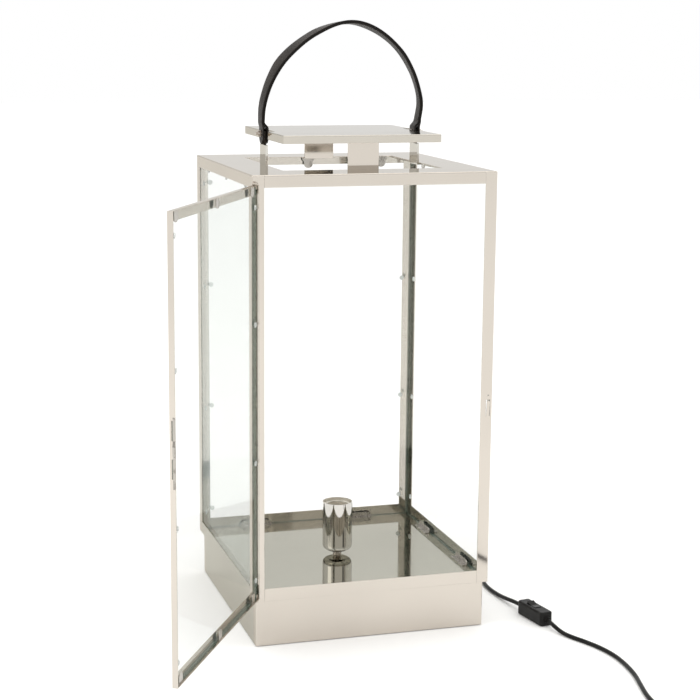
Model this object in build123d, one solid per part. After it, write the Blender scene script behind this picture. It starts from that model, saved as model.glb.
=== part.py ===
from build123d import *
import os
from math import cos, pi, radians, sin, tan

# A tall polished-steel lantern with an electric lamp holder, in millimetres.
# X runs from the left side to the right, -Y is the front with the door, +Z is up.
# The origin is on the floor, under the middle of the square base.

# ---- driving sizes ----
BODY_W = 310.0            # frame width, left to right
BODY_D = 320.0            # frame depth, front to back
BASE_Z = 60.0             # top of the base, underside of the frame
TOP_Z = 587.0             # top face of the frame's top plate
SHEET = 1.0               # frame sheet thickness
STRIP = 15.0              # visible width of every frame strip
BASE_INSET = 5.0          # the base stands in from the frame by this on each side
SKIRT_LOW = 1.0           # the base's sheets end this far above the floor
RAIL_H = 16.0             # bottom rail height
VENT_HALF = 102.6         # half the side of the square opening in the top plate

CAP_HALF_X = 101.5
CAP_HALF_Y = 102.0
CAP_TOP = 629.0
CAP_FOLD = 10.0           # height of the cap's folded edge
NOTCH_HALF = 21.0         # half the width of the notch for the handle, in each side of the cap
NOTCH_DEEP = 10.0
LEG_W = 40.0              # cap leg width

GLASS_T = 3.0
PANE_GAP = 0.2            # between a pane and the strip in front of it

DOOR_OPEN = 120.5         # degrees the door stands open at rest
DOOR_SHEET = 0.8
DOOR_LOW = 66.0
DOOR_TOP = 576.0
DOOR_BACK = 3.6           # from the hinge axis back to the door's inner plane
DOOR_FRONT = 2.9          # from the hinge axis forward to the door's outer plane
DOOR_HEEL = 2.2           # from the hinge axis to the door's hinge edge
DOOR_REACH = 297.0        # from the hinge axis to the door's free edge
DOOR_LEG = 12.0           # width of the door frame's front leg
HINGE_X = -151.6
HINGE_Y = -BODY_D / 2 - 4.6
PIN_R = 1.0
RUN_GAP = 0.05            # radial running clearance of pins and bolts
LUG_T = 1.2

BAR_T = 3.0               # handle bar, thickness and width
BAR_W = 30.0
BAR_X = 101.0             # middle of the bar's thickness
BAR_TOP = 631.5
TONGUE_W = 12.0           # the bar is narrower between the plies, round its bolt
TONGUE_LOW = 611.5
BOLT_Z = 625.5            # handle bolts' axis, along X
BOLT_R = 2.0
STRAP_W = 20.0
PLY_T = 2.2               # thickness of each of the strap's two plies
STRAP_END = 612.5
PLY_PART = 632.0          # the plies run beside the bar below this height
PLY_JOIN = 640.0          # and meet at this one, above the bar
JOIN_X = 104.3            # middle of the joined strap there

TRAY_TOP = 62.0
HOLDER_R = 20.0           # lamp holder shell
HOLDER_LOW = 67.6
HOLDER_TOP = 134.5
SOCKET_R = 13.2           # bore of the screw shell for an E27 lamp cap
NIPPLE_R = 5.0

CORD_D = 5.4
CORD_R = CORD_D / 2
FLOOR_LIE = CORD_R + 0.05  # height of the cord's middle where it lies on the floor
GLAND_Y = 84.0
GLAND_Z = 14.0
GLAND_END = 177.0
SWITCH_Z = 9.0            # height of the cord's axis through the switch
SWITCH_LEN = 64.7         # between the ends of the switch's two necks
SWITCH_AT = (219.3, -121.8)
SWITCH_TURN = -80.2       # heading of the switch, degrees from +X
COIL_AT = (212.0, -518.0)
COIL_MID_R = 31.0         # radius at the middle of the coil's turns
COIL_TURNS = 3            # in each of two layers, one spiralling in and one out
PLUG_AT = (152.0, -543.8)  # where the cord meets the plug
PLUG_TURN = 170.0         # heading of the plug, degrees from +X
PLUG_Z = 7.1              # height of the plug's middle

# ---- sizes that follow ----
HX = BODY_W / 2
HY = BODY_D / 2
BX = HX - BASE_INSET
BY = HY - BASE_INSET
PANE_X = HX - SHEET - PANE_GAP
PANE_Y = HY - SHEET - PANE_GAP
PANE_LOW = TRAY_TOP + PANE_GAP
PANE_TOP = TOP_Z - SHEET - PANE_GAP
BAR_IN = BAR_X - BAR_T / 2
BAR_OUT = BAR_X + BAR_T / 2
PLY_GAP = 0.3             # between the bar and each ply, which turn against it

os.makedirs("parts", exist_ok=True)
made = []


def save(name, shape):
    """Write one node, a solid or a group of separate solids."""
    made.append(name)
    export_step(shape, f"parts/{name}.step")


def group(solids):
    return Compound(children=list(solids))


def block(x0, x1, y0, y1, z0, z1):
    """A box between two corners."""
    middle = Pos((x0 + x1) / 2, (y0 + y1) / 2, (z0 + z1) / 2)
    return middle * Box(x1 - x0, y1 - y0, z1 - z0)


def rod(radius, x, y, z0, z1):
    """An upright cylinder."""
    return Pos(x, y, (z0 + z1) / 2) * Cylinder(radius, z1 - z0)


def rod_x(radius, x0, x1, y, z):
    """A cylinder along X."""
    return Pos((x0 + x1) / 2, y, z) * Rot(0, 90, 0) * Cylinder(radius, x1 - x0)


def upright_tab(width, low, high, thick, round_low):
    """A plate in the XZ plane, its back face on Y = 0, with one end rounded."""
    plate = block(-width / 2, width / 2, -thick, 0, low, high)
    end = low if round_low else high
    corners = plate.edges().filter_by(Axis.Y).sort_by(lambda e: abs(e.center().Z - end))[:2]
    return fillet(corners, width * 0.45)


def mirror_x(shape):
    return mirror(shape, Plane.YZ)


def mirror_y(shape):
    return mirror(shape, Plane.XZ)


# ---- base ----
RETURN = 12.0             # the front and back sheets wrap the corners by this
FLANGE = 10.0
FLOOR_PLATE_Z = 4.0       # underside of the base's floor plate
INNER_START = GLAND_END - 6.0  # the cord's inner stretch starts here, inside the gland


def base_front():
    """Front sheet of the base: a face, two corner returns and a top flange."""
    face = block(-BX, BX, -BY, -BY + SHEET, SKIRT_LOW, BASE_Z)
    right = block(BX - SHEET, BX, -BY + SHEET, -BY + RETURN, SKIRT_LOW, BASE_Z)
    flange = block(-BX + SHEET, BX - SHEET, -BY + SHEET, -BY + FLANGE, BASE_Z - SHEET, BASE_Z)
    sheet = face + right + mirror_x(right) + flange
    return fillet(corner_edges(sheet, BX, -BY), 0.8)


def corner_edges(shape, x, y):
    """Upright outer edges at the two corners (-x, y) and (x, y)."""
    upright = shape.edges().filter_by(Axis.Z)
    return [e for e in upright if abs(abs(e.center().X) - x) < 0.01 and abs(e.center().Y - y) < 0.01]


def base_side():
    """Right sheet of the base, between the returns, with flanges top and bottom."""
    reach = BY - RETURN - 0.3
    face = block(BX - SHEET, BX, -reach, reach, SKIRT_LOW, BASE_Z)
    high = block(BX - FLANGE, BX - SHEET, -reach, reach, BASE_Z - SHEET, BASE_Z)
    low = block(BX - FLANGE - 2, BX - SHEET, -reach, reach, FLOOR_PLATE_Z + SHEET, FLOOR_PLATE_Z + 2 * SHEET)
    return face + high + low


SCREW_X = BX - 7.0
SCREW_Y = 100.0
SCREW_SPOTS = [(sx * SCREW_X, sy * SCREW_Y) for sx in (-1, 1) for sy in (-1, 1)]


def drill(shape, spots, radius, z0, z1):
    """Upright holes through a shape."""
    for x, y in spots:
        shape = shape - rod(radius, x, y, z0, z1)
    return shape


def base_floor():
    plate = block(-BX + 1.5, BX - 1.5, -BY + 1.5, BY - 1.5, FLOOR_PLATE_Z, FLOOR_PLATE_Z + SHEET)
    return drill(plate, SCREW_SPOTS, 1.7, 0, 10)


def base_pad():
    """Foam pad under the floor plate, which the lantern stands on, cut out round the screws."""
    pad = block(-BX + 2.5, BX - 2.5, -BY + 2.5, BY - 2.5, 0, FLOOR_PLATE_Z)
    pad = fillet(pad.edges().filter_by(Axis.Z), 6.0)
    return drill(pad, SCREW_SPOTS, 4.2, -1, 10)


def base_screw(x, y):
    """Pan-head screw up through the floor plate into the side sheet's flange."""
    head = rod(2.8, x, y, 2.3, FLOOR_PLATE_Z)
    head = fillet(head.edges().sort_by(Axis.Z)[:1], 0.8)
    return head + rod(1.5, x, y, FLOOR_PLATE_Z, 9.0)


def cord_gland():
    """Flanged bush in the right base sheet, with a tapered strain relief outside."""
    gland = rod_x(8, BX, BX + 2.5, GLAND_Y, GLAND_Z)
    gland += rod_x(6, BX - SHEET, BX, GLAND_Y, GLAND_Z)
    gland += rod_x(7.4, BX - SHEET - 5, BX - SHEET, GLAND_Y, GLAND_Z)
    length = GLAND_END - BX - 2.5
    taper = Cone(5.6, 3.9, length)
    gland += Pos(BX + 2.5 + length / 2, GLAND_Y, GLAND_Z) * Rot(0, 90, 0) * taper
    return gland - rod_x(CORD_R, BX - 20, INNER_START, GLAND_Y, GLAND_Z)


right_side = base_side() - rod_x(6, BX - 3, BX + 3, GLAND_Y, GLAND_Z)
save("base_front", base_front())
save("base_back", mirror_y(base_front()))
save("base_right", drill(right_side, SCREW_SPOTS, 1.5, 3, 9))
save("base_left", drill(mirror_x(base_side()), SCREW_SPOTS, 1.5, 3, 9))
save("base_floor", base_floor())
save("base_pad", base_pad())
save("base_screws", group([base_screw(x, y) for x, y in SCREW_SPOTS]))
save("cord_gland", cord_gland())


# ---- frame ----
def tray():
    """Mirror-polished floor of the lantern, on the bottom rails' flanges."""
    half_x = HX - SHEET - 0.1
    half_y = HY - SHEET - 0.1
    sheet = block(-half_x, half_x, -half_y, half_y, TRAY_TOP - SHEET, TRAY_TOP)
    return sheet - rod(NIPPLE_R, 0, 0, TRAY_TOP - 5, TRAY_TOP + 5)


def rail_front():
    """Bottom rail between two posts: an upright strip and an inward flange."""
    reach = HX - STRIP - 0.1
    strip = block(-reach, reach, -HY, -HY + SHEET, BASE_Z, BASE_Z + RAIL_H)
    flange = block(-reach, reach, -HY + SHEET, -HY + STRIP, BASE_Z, BASE_Z + SHEET)
    return fillet((strip + flange).edges().filter_by(Axis.X).sort_by(Axis.Z)[:1], 0.5)


def rail_side():
    reach = HY - STRIP - 0.1
    strip = block(HX - SHEET, HX, -reach, reach, BASE_Z, BASE_Z + RAIL_H)
    flange = block(HX - STRIP, HX - SHEET, -reach, reach, BASE_Z, BASE_Z + SHEET)
    return strip + flange


def post_front_right():
    """Corner angle of the frame, with its outer bend rounded."""
    front = block(HX - STRIP, HX, -HY, -HY + SHEET, BASE_Z, TOP_Z - SHEET)
    side = block(HX - SHEET, HX, -HY + SHEET, -HY + STRIP, BASE_Z, TOP_Z - SHEET)
    angle = front + side
    bend = [e for e in angle.edges().filter_by(Axis.Z)
            if abs(e.center().X - HX) < 0.01 and abs(e.center().Y + HY) < 0.01]
    return fillet(bend, 0.8)


CATCH_LOW = 279.0
CATCH_H = 19.5
CATCH_X = (147.7, 151.5)


def catch_post():
    """The right front post, with the door's keeper: a tongue cut on three sides and bent out."""
    x0, x1 = CATCH_X
    top = CATCH_LOW + CATCH_H
    window = block(x0 - 0.7, x1 + 0.7, -HY - 1, -HY + SHEET, CATCH_LOW, top + 1.4)
    with BuildPart() as tongue:
        with BuildSketch(Plane.YZ):
            with BuildLine():
                Polyline((-HY + SHEET, CATCH_LOW - 0.5), (-HY, CATCH_LOW - 0.5), (-HY, CATCH_LOW + 1),
                         (-HY - 2, top), (-HY - 1, top), (-HY + SHEET, CATCH_LOW + 1), close=True)
            make_face()
        extrude(amount=x1 - x0)
    dimple = Pos((x0 + x1) / 2, -HY, top + 7) * Rot(90, 0, 0) * Cylinder(1.3, 4)
    return post_front_right() - window - dimple + Pos(x0, 0, 0) * tongue.part


def top_frame():
    """Top plate with its square opening and four folded edges, cut away at the posts."""
    outer = block(-HX, HX, -HY, HY, TOP_Z - STRIP, TOP_Z)
    outer = fillet(outer.edges().group_by(Axis.Z)[-1], 1.4)
    inside = block(-HX + SHEET, HX - SHEET, -HY + SHEET, HY - SHEET, TOP_Z - STRIP - 1, TOP_Z - SHEET)
    plate = outer - inside - block(-VENT_HALF, VENT_HALF, -VENT_HALF, VENT_HALF, TOP_Z - 5, TOP_Z + 5)
    for sx in (-1, 1):
        for sy in (-1, 1):
            cut = Box(2 * STRIP + 0.2, 2 * STRIP + 0.2, STRIP)
            plate = plate - Pos(sx * HX, sy * HY, TOP_Z - SHEET - STRIP / 2) * cut
    return plate


post = post_front_right()
save("mirror_tray", tray())
save("bottom_rail_front", rail_front())
save("bottom_rail_back", mirror_y(rail_front()))
save("bottom_rail_right", rail_side())
save("bottom_rail_left", mirror_x(rail_side()))
save("post_front_right", catch_post())
save("post_front_left", mirror_x(post))
save("post_back_right", mirror_y(post))
save("post_back_left", mirror_x(mirror_y(post)))
save("top_frame", top_frame())

# ---- glass and what holds it ----
CLIP_T = 1.0
CLIP_STEP = 105.0
PAD_HEIGHTS = (92.0, 240.0, 410.0, 550.0)


def top_clip():
    """Clip under the top plate: a foot, a wide neck and a round tongue behind the pane."""
    neck = upright_tab(18, 574, 586, CLIP_T, True)
    tongue = upright_tab(12.4, 567.5, 586, CLIP_T, True)
    foot = block(-9, 9, -9, -CLIP_T, 585, 586)
    return neck + tongue + foot


def low_clip():
    """Long low clip on the tray, behind the foot of a pane."""
    plate = block(-22.5, 22.5, -CLIP_T, 0, TRAY_TOP, TRAY_TOP + 7)
    corners = plate.edges().filter_by(Axis.Y).group_by(Axis.Z)[-1]
    foot = block(-22.5, 22.5, -7, -CLIP_T, TRAY_TOP, TRAY_TOP + 0.8)
    return fillet(corners, 6.0) + foot


def around_panes(piece, steps):
    """Copies of a back-pane piece behind the back, right and left panes."""
    back = PANE_Y - GLASS_T - PANE_GAP
    side = PANE_X - GLASS_T - PANE_GAP
    copies = [Pos(s, back, 0) * piece for s in steps]
    copies += [Pos(side, s, 0) * Rot(0, 0, -90) * piece for s in steps]
    copies += [Pos(-side, s, 0) * Rot(0, 0, 90) * piece for s in steps]
    return copies


def pane_pad(z):
    """Clear silicone dot against a pane's inner face."""
    dot = Pos(0, -0.6, z) * Rot(90, 0, 0) * Cylinder(3.2, 1.2)
    return dot


def pane_pads():
    dots = []
    for z in PAD_HEIGHTS:
        dots += around_panes(pane_pad(z), (-138.0, 138.0))
    return group(dots)


side_pane = block(PANE_X - GLASS_T, PANE_X, -PANE_Y, PANE_Y, PANE_LOW, PANE_TOP)
back_reach = PANE_X - GLASS_T - 0.5
back_pane = block(-back_reach, back_reach, PANE_Y - GLASS_T, PANE_Y, PANE_LOW, PANE_TOP)
save("glass_right", side_pane)
save("glass_left", mirror_x(side_pane))
save("glass_back", back_pane)
save("glass_clips_top", group(around_panes(top_clip(), (-CLIP_STEP, 0.0, CLIP_STEP))))
save("glass_clips_bottom", group(around_panes(low_clip(), (-75.0, 75.0))))
save("pane_pads", pane_pads())


# ---- cap and handle ----
def cap_plate():
    """Square cap: a flat sheet with four folded edges and a notch in each side for the handle."""
    outer = block(-CAP_HALF_X, CAP_HALF_X, -CAP_HALF_Y, CAP_HALF_Y, CAP_TOP - CAP_FOLD, CAP_TOP)
    outer = fillet(outer.edges().group_by(Axis.Z)[-1], 1.2)
    inside = block(-CAP_HALF_X + SHEET, CAP_HALF_X - SHEET, -CAP_HALF_Y + SHEET, CAP_HALF_Y - SHEET,
                   CAP_TOP - CAP_FOLD - 1, CAP_TOP - SHEET)
    cap = outer - inside
    for sx in (-1, 1):
        cap = cap - Pos(sx * CAP_HALF_X, 0, CAP_TOP) * Box(2 * NOTCH_DEEP, 2 * NOTCH_HALF, 60)
    return cap


def cap_leg():
    """Front leg of the cap, butted under its fold, with a foot under the top plate."""
    low = TOP_Z - SHEET - 1.5
    plate = block(-LEG_W / 2, LEG_W / 2, -CAP_HALF_Y, -CAP_HALF_Y + SHEET, low, CAP_TOP - CAP_FOLD)
    foot = block(-LEG_W / 2, LEG_W / 2, -CAP_HALF_Y - 14, -CAP_HALF_Y, low, TOP_Z - SHEET)
    return plate + foot


def handle_bar():
    """Right handle bar, from a foot under the top plate up through the cap's notch."""
    low = TOP_Z - SHEET - 2.0
    tongue = block(BAR_IN, BAR_OUT, -TONGUE_W / 2, TONGUE_W / 2, TONGUE_LOW - 1, BAR_TOP)
    corners = tongue.edges().filter_by(Axis.X).group_by(Axis.Z)[-1]
    tongue = fillet(corners, TONGUE_W * 0.497)
    bar = block(BAR_IN, BAR_OUT, -BAR_W / 2, BAR_W / 2, low, TONGUE_LOW) + tongue
    foot = block(BAR_OUT, BAR_OUT + 14, -BAR_W / 2, BAR_W / 2, low, TOP_Z - SHEET)
    return bar + foot - rod_x(BOLT_R, BAR_IN - 5, BAR_OUT + 5, 0, BOLT_Z)


def handle_bolt():
    """Right bolt: a domed head inside, the shank through bar and strap."""
    head_face = BAR_IN - PLY_GAP - PLY_T - 0.3
    head = rod_x(3.4, head_face - 2.4, head_face, 0, BOLT_Z)
    head = fillet(head.edges().sort_by(Axis.X)[:1], 1.4)
    return head + rod_x(BOLT_R, head_face, 112.0, 0, BOLT_Z)


def handle_nut():
    """Right nut and washer, outside the strap."""
    face = BAR_OUT + PLY_GAP + PLY_T + 0.3
    washer = rod_x(4.4, face, face + 0.8, 0, BOLT_Z)
    flats = extrude(Plane.YZ * RegularPolygon(3.9, 6), 3.2)
    nut = Pos(face + 0.8, 0, BOLT_Z) * flats
    return washer + nut - rod_x(BOLT_R, face - 2, face + 8, 0, BOLT_Z)


# Middle line of the strap above the point where its plies join, left to right.
# It leans and swells a little differently on each side, as a worn strap does.
STRAP_LINE = [
    (-JOIN_X, PLY_JOIN), (-103.4, 657), (-99.6, 674), (-92.0, 694), (-79.5, 715), (-61.0, 733.5),
    (-37.5, 750), (-12.0, 761), (12.0, 765.2), (35.0, 760.5), (58.5, 748), (80.0, 728.5),
    (95.5, 704), (104.5, 680), (107.3, 661), (JOIN_X, PLY_JOIN),
]


def shifted_line(points, shift):
    """The strap's middle line moved outwards by a distance, as points."""
    base = Spline(points, tangents=[(0, 1), (0, -1)])
    moved = []
    for x, z in points:
        along = base.tangent_at(Vector(x, z))
        moved.append((x - along.Y * shift, z + along.X * shift))
    return moved


def ply_edge(shift, end_x):
    """One face of a ply: straight beside the bar, a bend over its top, then the arch."""
    arch = shifted_line(STRAP_LINE, shift)
    left, right = arch[0], arch[-1]
    lines = [
        Line((-end_x, STRAP_END), (-end_x, PLY_PART)),
        Spline([(-end_x, PLY_PART), left], tangents=[(0, 1), (0, 1)]),
        Spline(arch, tangents=[(0, 1), (0, -1)]),
        Spline([right, (end_x, PLY_PART)], tangents=[(0, -1), (0, -1)]),
        Line((end_x, PLY_PART), (end_x, STRAP_END)),
    ]
    return lines


def strap_ply(outer_shift, outer_end, inner_shift, inner_end):
    """A leather ply: the area between its two faces, as wide as the strap, with round ends."""
    outer = ply_edge(outer_shift, outer_end)
    inner = ply_edge(inner_shift, inner_end)
    feet = [Line(outer[0] @ 0, inner[0] @ 0), Line(outer[-1] @ 1, inner[-1] @ 1)]
    area = make_face(outer + inner + feet)
    ply = extrude(Plane.XZ * area, STRAP_W / 2, both=True)
    ends = [e for e in ply.edges().filter_by(Axis.X) if abs(e.center().Z - STRAP_END) < 0.01]
    ply = fillet(ends, STRAP_W * 0.46)
    return ply - rod_x(BOLT_R + RUN_GAP, -120, 120, 0, BOLT_Z)


bolt, nut = handle_bolt(), handle_nut()
save("cap_plate", cap_plate())
save("cap_leg_front", cap_leg())
save("cap_leg_back", mirror_y(cap_leg()))
save("handle_bar_right", handle_bar())
save("handle_bar_left", mirror_x(handle_bar()))
save("handle_bolts", group([bolt, mirror_x(bolt)]))
save("handle_nuts", group([nut, mirror_x(nut)]))
out_face = BAR_OUT + PLY_GAP
in_face = BAR_IN - PLY_GAP
save("strap_outer_ply", strap_ply(PLY_T, out_face + PLY_T, 0.0, out_face))
save("strap_inner_ply", strap_ply(0.0, in_face, -PLY_T, in_face - PLY_T))


# ---- lamp holder ----
def ring(outer_r, inner_r, z0, z1):
    return rod(outer_r, 0, 0, z0, z1) - rod(inner_r, 0, 0, z0 - 1, z1 + 1)


def holder_shell():
    """Polished cup round the socket, open at the top, on the nipple."""
    cup = rod(HOLDER_R, 0, 0, HOLDER_LOW, HOLDER_TOP)
    cup = fillet(cup.edges().group_by(Axis.Z)[0], 8.0)
    hollow = rod(HOLDER_R - 0.9, 0, 0, HOLDER_LOW + 1.0, HOLDER_TOP + 1)
    hollow = fillet(hollow.edges().group_by(Axis.Z)[0], 7.2)
    return cup - hollow - rod(NIPPLE_R, 0, 0, HOLDER_LOW - 2, HOLDER_LOW + 3)


INSERT_LOW = 84.0
INSERT_TOP = 131.0
SHELL_TOP = 121.0


def holder_insert():
    """Ceramic body of the socket."""
    body = rod(HOLDER_R - 1.1, 0, 0, INSERT_LOW, INSERT_TOP)
    body = body - rod(SOCKET_R + 0.6, 0, 0, INSERT_LOW + 8, INSERT_TOP + 1)
    body = body - rod(NIPPLE_R + 0.4, 0, 0, INSERT_LOW - 1, INSERT_LOW + 3)
    return fillet(body.edges().filter_by(GeomType.CIRCLE).group_by(Axis.Z)[-1], 0.5)


def screw_shell():
    """Threaded brass sleeve for the lamp cap, shown by its clear bore."""
    return ring(SOCKET_R + 0.6, SOCKET_R, INSERT_LOW + 12.5, SHELL_TOP)


def centre_contact():
    """Sprung tongue at the bottom of the socket."""
    foot = block(-10, 3.5, -3, 3, INSERT_LOW + 8, INSERT_LOW + 8.6)
    rise = block(-3.5, 3.5, -3, 3, INSERT_LOW + 11.4, INSERT_LOW + 12)
    web = block(2.9, 3.5, -3, 3, INSERT_LOW + 8, INSERT_LOW + 12)
    return foot + web + rise


NIPPLE_LOW = 50.0


def collar_nut():
    """Turned collar between tray and cup, narrow at its waist."""
    collar = ring(5.8, NIPPLE_R, TRAY_TOP, HOLDER_LOW)
    waist = Pos(0, 0, (TRAY_TOP + HOLDER_LOW) / 2) * Torus(6.6, 1.5)
    return collar - waist


def lock_nut(z0, z1):
    flats = Pos(0, 0, z0) * extrude(RegularPolygon(8, 6), z1 - z0)
    return flats - rod(NIPPLE_R, 0, 0, z0 - 1, z1 + 1)


save("holder_shell", holder_shell())
save("holder_insert", holder_insert())
save("holder_screw_shell", screw_shell())
save("holder_contact", centre_contact())
save("holder_nipple", ring(NIPPLE_R, 3.6, NIPPLE_LOW, 76.0))
save("holder_nuts", group([collar_nut(), lock_nut(57.5, TRAY_TOP - SHEET), lock_nut(68.6, 72.0)]))


# ---- hinge and door ----
def hang(shape):
    """Put a piece of the closed door, drawn round the hinge axis, where the open door stands."""
    return Pos(HINGE_X, HINGE_Y, 0) * Rot(0, 0, -DOOR_OPEN) * shape


def hinge_lug():
    """Top lug: a plate out over the door's corner, with its weld flange on the post."""
    low = DOOR_TOP + 1.0
    high = low + LUG_T
    plate = block(HINGE_X - 3, HINGE_X + 3, HINGE_Y, -HY, low, high) + rod(3, HINGE_X, HINGE_Y, low, high)
    flange = block(HINGE_X - 3, HINGE_X + 3, -HY - 1.0, -HY, high, TOP_Z - 2)
    return plate + flange - rod(PIN_R + RUN_GAP, HINGE_X, HINGE_Y, low - 2, high + 2)


def low_hinge_lug():
    high = DOOR_LOW - 1.0
    low = high - LUG_T
    plate = block(HINGE_X - 3, HINGE_X + 3, HINGE_Y, -HY, low, high) + rod(3, HINGE_X, HINGE_Y, low, high)
    flange = block(HINGE_X - 3, HINGE_X + 3, -HY - 1.0, -HY, BASE_Z + 0.2, low)
    return plate + flange - rod(PIN_R + RUN_GAP, HINGE_X, HINGE_Y, low - 2, high + 2)


def hinge_pins():
    """Two headed pins fixed in the door, turning in the lugs."""
    lug_top = DOOR_TOP + 1.0 + LUG_T
    lug_low = DOOR_LOW - 1.0 - LUG_T
    top = rod(PIN_R, 0, 0, DOOR_TOP - 5, lug_top + 0.3) + rod(1.9, 0, 0, lug_top + 0.3, lug_top + 1.2)
    low = rod(PIN_R, 0, 0, lug_low - 0.3, DOOR_LOW + 5) + rod(1.9, 0, 0, lug_low - 1.2, lug_low - 0.3)
    return group([hang(top), hang(low)])


def stile_hinge():
    """Hinge-side angle of the door frame."""
    edge = block(-DOOR_HEEL, -DOOR_HEEL + DOOR_SHEET, -DOOR_FRONT, DOOR_BACK, DOOR_LOW, DOOR_TOP)
    face = block(-DOOR_HEEL + DOOR_SHEET, -DOOR_HEEL + DOOR_LEG, -DOOR_FRONT, -DOOR_FRONT + DOOR_SHEET,
                 DOOR_LOW, DOOR_TOP)
    return edge + face


LATCH_SLOTS = ((296.0, 317.5), (337.0, 358.5))


def stile_latch():
    """Free-side angle of the door frame, slotted beside the latch spring."""
    face = block(DOOR_REACH - DOOR_LEG, DOOR_REACH - DOOR_SHEET, -DOOR_FRONT, -DOOR_FRONT + DOOR_SHEET,
                 DOOR_LOW, DOOR_TOP)
    edge = block(DOOR_REACH - DOOR_SHEET, DOOR_REACH, -DOOR_FRONT, DOOR_BACK, DOOR_LOW, DOOR_TOP)
    for low, high in LATCH_SLOTS:
        edge = edge - block(DOOR_REACH - 2, DOOR_REACH + 2, -0.7, 0.6, low, high)
    return edge + face


def latch_spring():
    """Leaf spring on the door's free edge, with a bump that snaps past the keeper."""
    leaf = 0.5
    flat = DOOR_REACH + leaf
    with BuildPart() as spring:
        with BuildSketch(Plane.XZ):
            with BuildLine():
                Polyline((DOOR_REACH, 285), (flat, 285), (flat, 318), (flat + 1.5, 324), (flat + 1.5, 331),
                         (flat, 337), (flat, 362), (DOOR_REACH, 362), (DOOR_REACH, 337),
                         (DOOR_REACH + 1.5, 331), (DOOR_REACH + 1.5, 324), (DOOR_REACH, 318), close=True)
            make_face()
        extrude(amount=2.6)
    return Pos(0, 3.4, 0) * spring.part


def door_rail(low, high, web_low, web_high):
    """Top or bottom angle of the door frame, between the stiles, with its hinge pin hole."""
    face = block(-DOOR_HEEL + DOOR_LEG, DOOR_REACH - DOOR_LEG, -DOOR_FRONT, -DOOR_FRONT + DOOR_SHEET, low, high)
    web = block(-DOOR_HEEL + DOOR_SHEET, DOOR_REACH - DOOR_SHEET, -DOOR_FRONT + DOOR_SHEET, DOOR_BACK,
                web_low, web_high)
    return face + web - rod(PIN_R, 0, 0, web_low - 1, web_high + 1)


PANE_BACK = -DOOR_FRONT + DOOR_SHEET + 0.05 + GLASS_T   # inner face of the door's pane


def door_pane():
    return block(2.0, DOOR_REACH - DOOR_SHEET - 0.6, PANE_BACK - GLASS_T, PANE_BACK,
                 DOOR_LOW + 1.4, DOOR_TOP - 1.4)


def door_clips():
    """Round-ended tongues from the rails, behind the pane."""
    high = DOOR_TOP - DOOR_SHEET
    low = DOOR_LOW + DOOR_SHEET
    top = Pos(0, PANE_BACK + 0.95, 0) * upright_tab(12, high - 12, high, DOOR_SHEET, True)
    foot = Pos(0, PANE_BACK + 0.95, 0) * upright_tab(12, low, low + 12, DOOR_SHEET, False)
    spots = (18.0, 147.0, 283.0)
    return group([hang(Pos(a, 0, 0) * tab) for tab in (top, foot) for a in spots])


def door_pads():
    dots = []
    for a in (6.5, 289.0):
        for z in PAD_HEIGHTS:
            dots.append(hang(Pos(a, PANE_BACK + 1.25, z) * pane_pad(0)))
    return group(dots)


save("hinge_lugs", group([hinge_lug(), low_hinge_lug()]))
save("hinge_pins", hinge_pins())
save("door_stile_hinge", hang(stile_hinge()))
save("door_stile_latch", hang(stile_latch()))
save("door_rail_top", hang(door_rail(DOOR_TOP - DOOR_LEG, DOOR_TOP, DOOR_TOP - DOOR_SHEET, DOOR_TOP)))
save("door_rail_bottom", hang(door_rail(DOOR_LOW, DOOR_LOW + DOOR_LEG, DOOR_LOW, DOOR_LOW + DOOR_SHEET)))
save("door_glass", hang(door_pane()))
save("door_clips", door_clips())
save("door_pads", door_pads())
save("latch_spring", hang(latch_spring()))


# ---- cord, switch and plug ----
def along_heading(start, degrees, distance):
    return (start[0] + distance * cos(radians(degrees)), start[1] + distance * sin(radians(degrees)))


switch_in = (*SWITCH_AT, SWITCH_Z)
switch_out = (*along_heading(SWITCH_AT, SWITCH_TURN, SWITCH_LEN), SWITCH_Z)
coil_half_w = (COIL_TURNS + 1) * CORD_R
coil_h = 2 * CORD_D

# Routes are chosen by hand. The lead runs from the gland to the switch, the tail from the
# switch to the coil, the end from the coil to the plug, and the inner lead up the nipple.
INNER_ROUTE = [
    (INNER_START, GLAND_Y, GLAND_Z), (149.0, GLAND_Y, GLAND_Z), (126.0, 79.0, 14.5), (104.0, 66.0, 13.5),
    (82.0, 50.5, 12.5), (61.0, 35.0, 12.0), (41.0, 20.5, 13.2), (22.5, 9.0, 18.5), (8.5, 2.4, 29.0),
    (1.2, 0.1, 43.0), (0, 0, 58.0), (0, 0.05, 74.0),
]
LEAD_ROUTE = [
    (GLAND_END, GLAND_Y, GLAND_Z), (195.5, 83.2, 13.0), (214.0, 73.0, 8.6), (226.0, 52.0, 4.4),
    (222.5, 27.0, FLOOR_LIE), (211.5, 0.5, FLOOR_LIE), (208.8, -30.0, FLOOR_LIE), (211.3, -61.0, 3.4),
    (213.4, -83.0, 5.8), (216.6, -104.0, 8.2), switch_in,
]
TAIL_ROUTE = [
    switch_out, (232.4, -202.5, 6.2), (236.0, -218.5, 3.3), (242.5, -234.5, FLOOR_LIE),
    (251.0, -251.5, FLOOR_LIE), (261.0, -277.0, FLOOR_LIE), (267.0, -306.0, FLOOR_LIE),
    (267.0, -338.0, FLOOR_LIE), (263.0, -372.0, FLOOR_LIE), (254.5, -405.0, FLOOR_LIE),
    (247.0, -436.0, FLOOR_LIE), (245.5, -466.0, FLOOR_LIE), (250.0, -492.0, FLOOR_LIE),
    (249.5, -509.0, FLOOR_LIE),
]
END_ROUTE = [
    (201.0, -557.0, 8.1), (186.5, -552.9, 8.2), (169.5, -548.0, 7.6), (*PLUG_AT, PLUG_Z),
]


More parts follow.
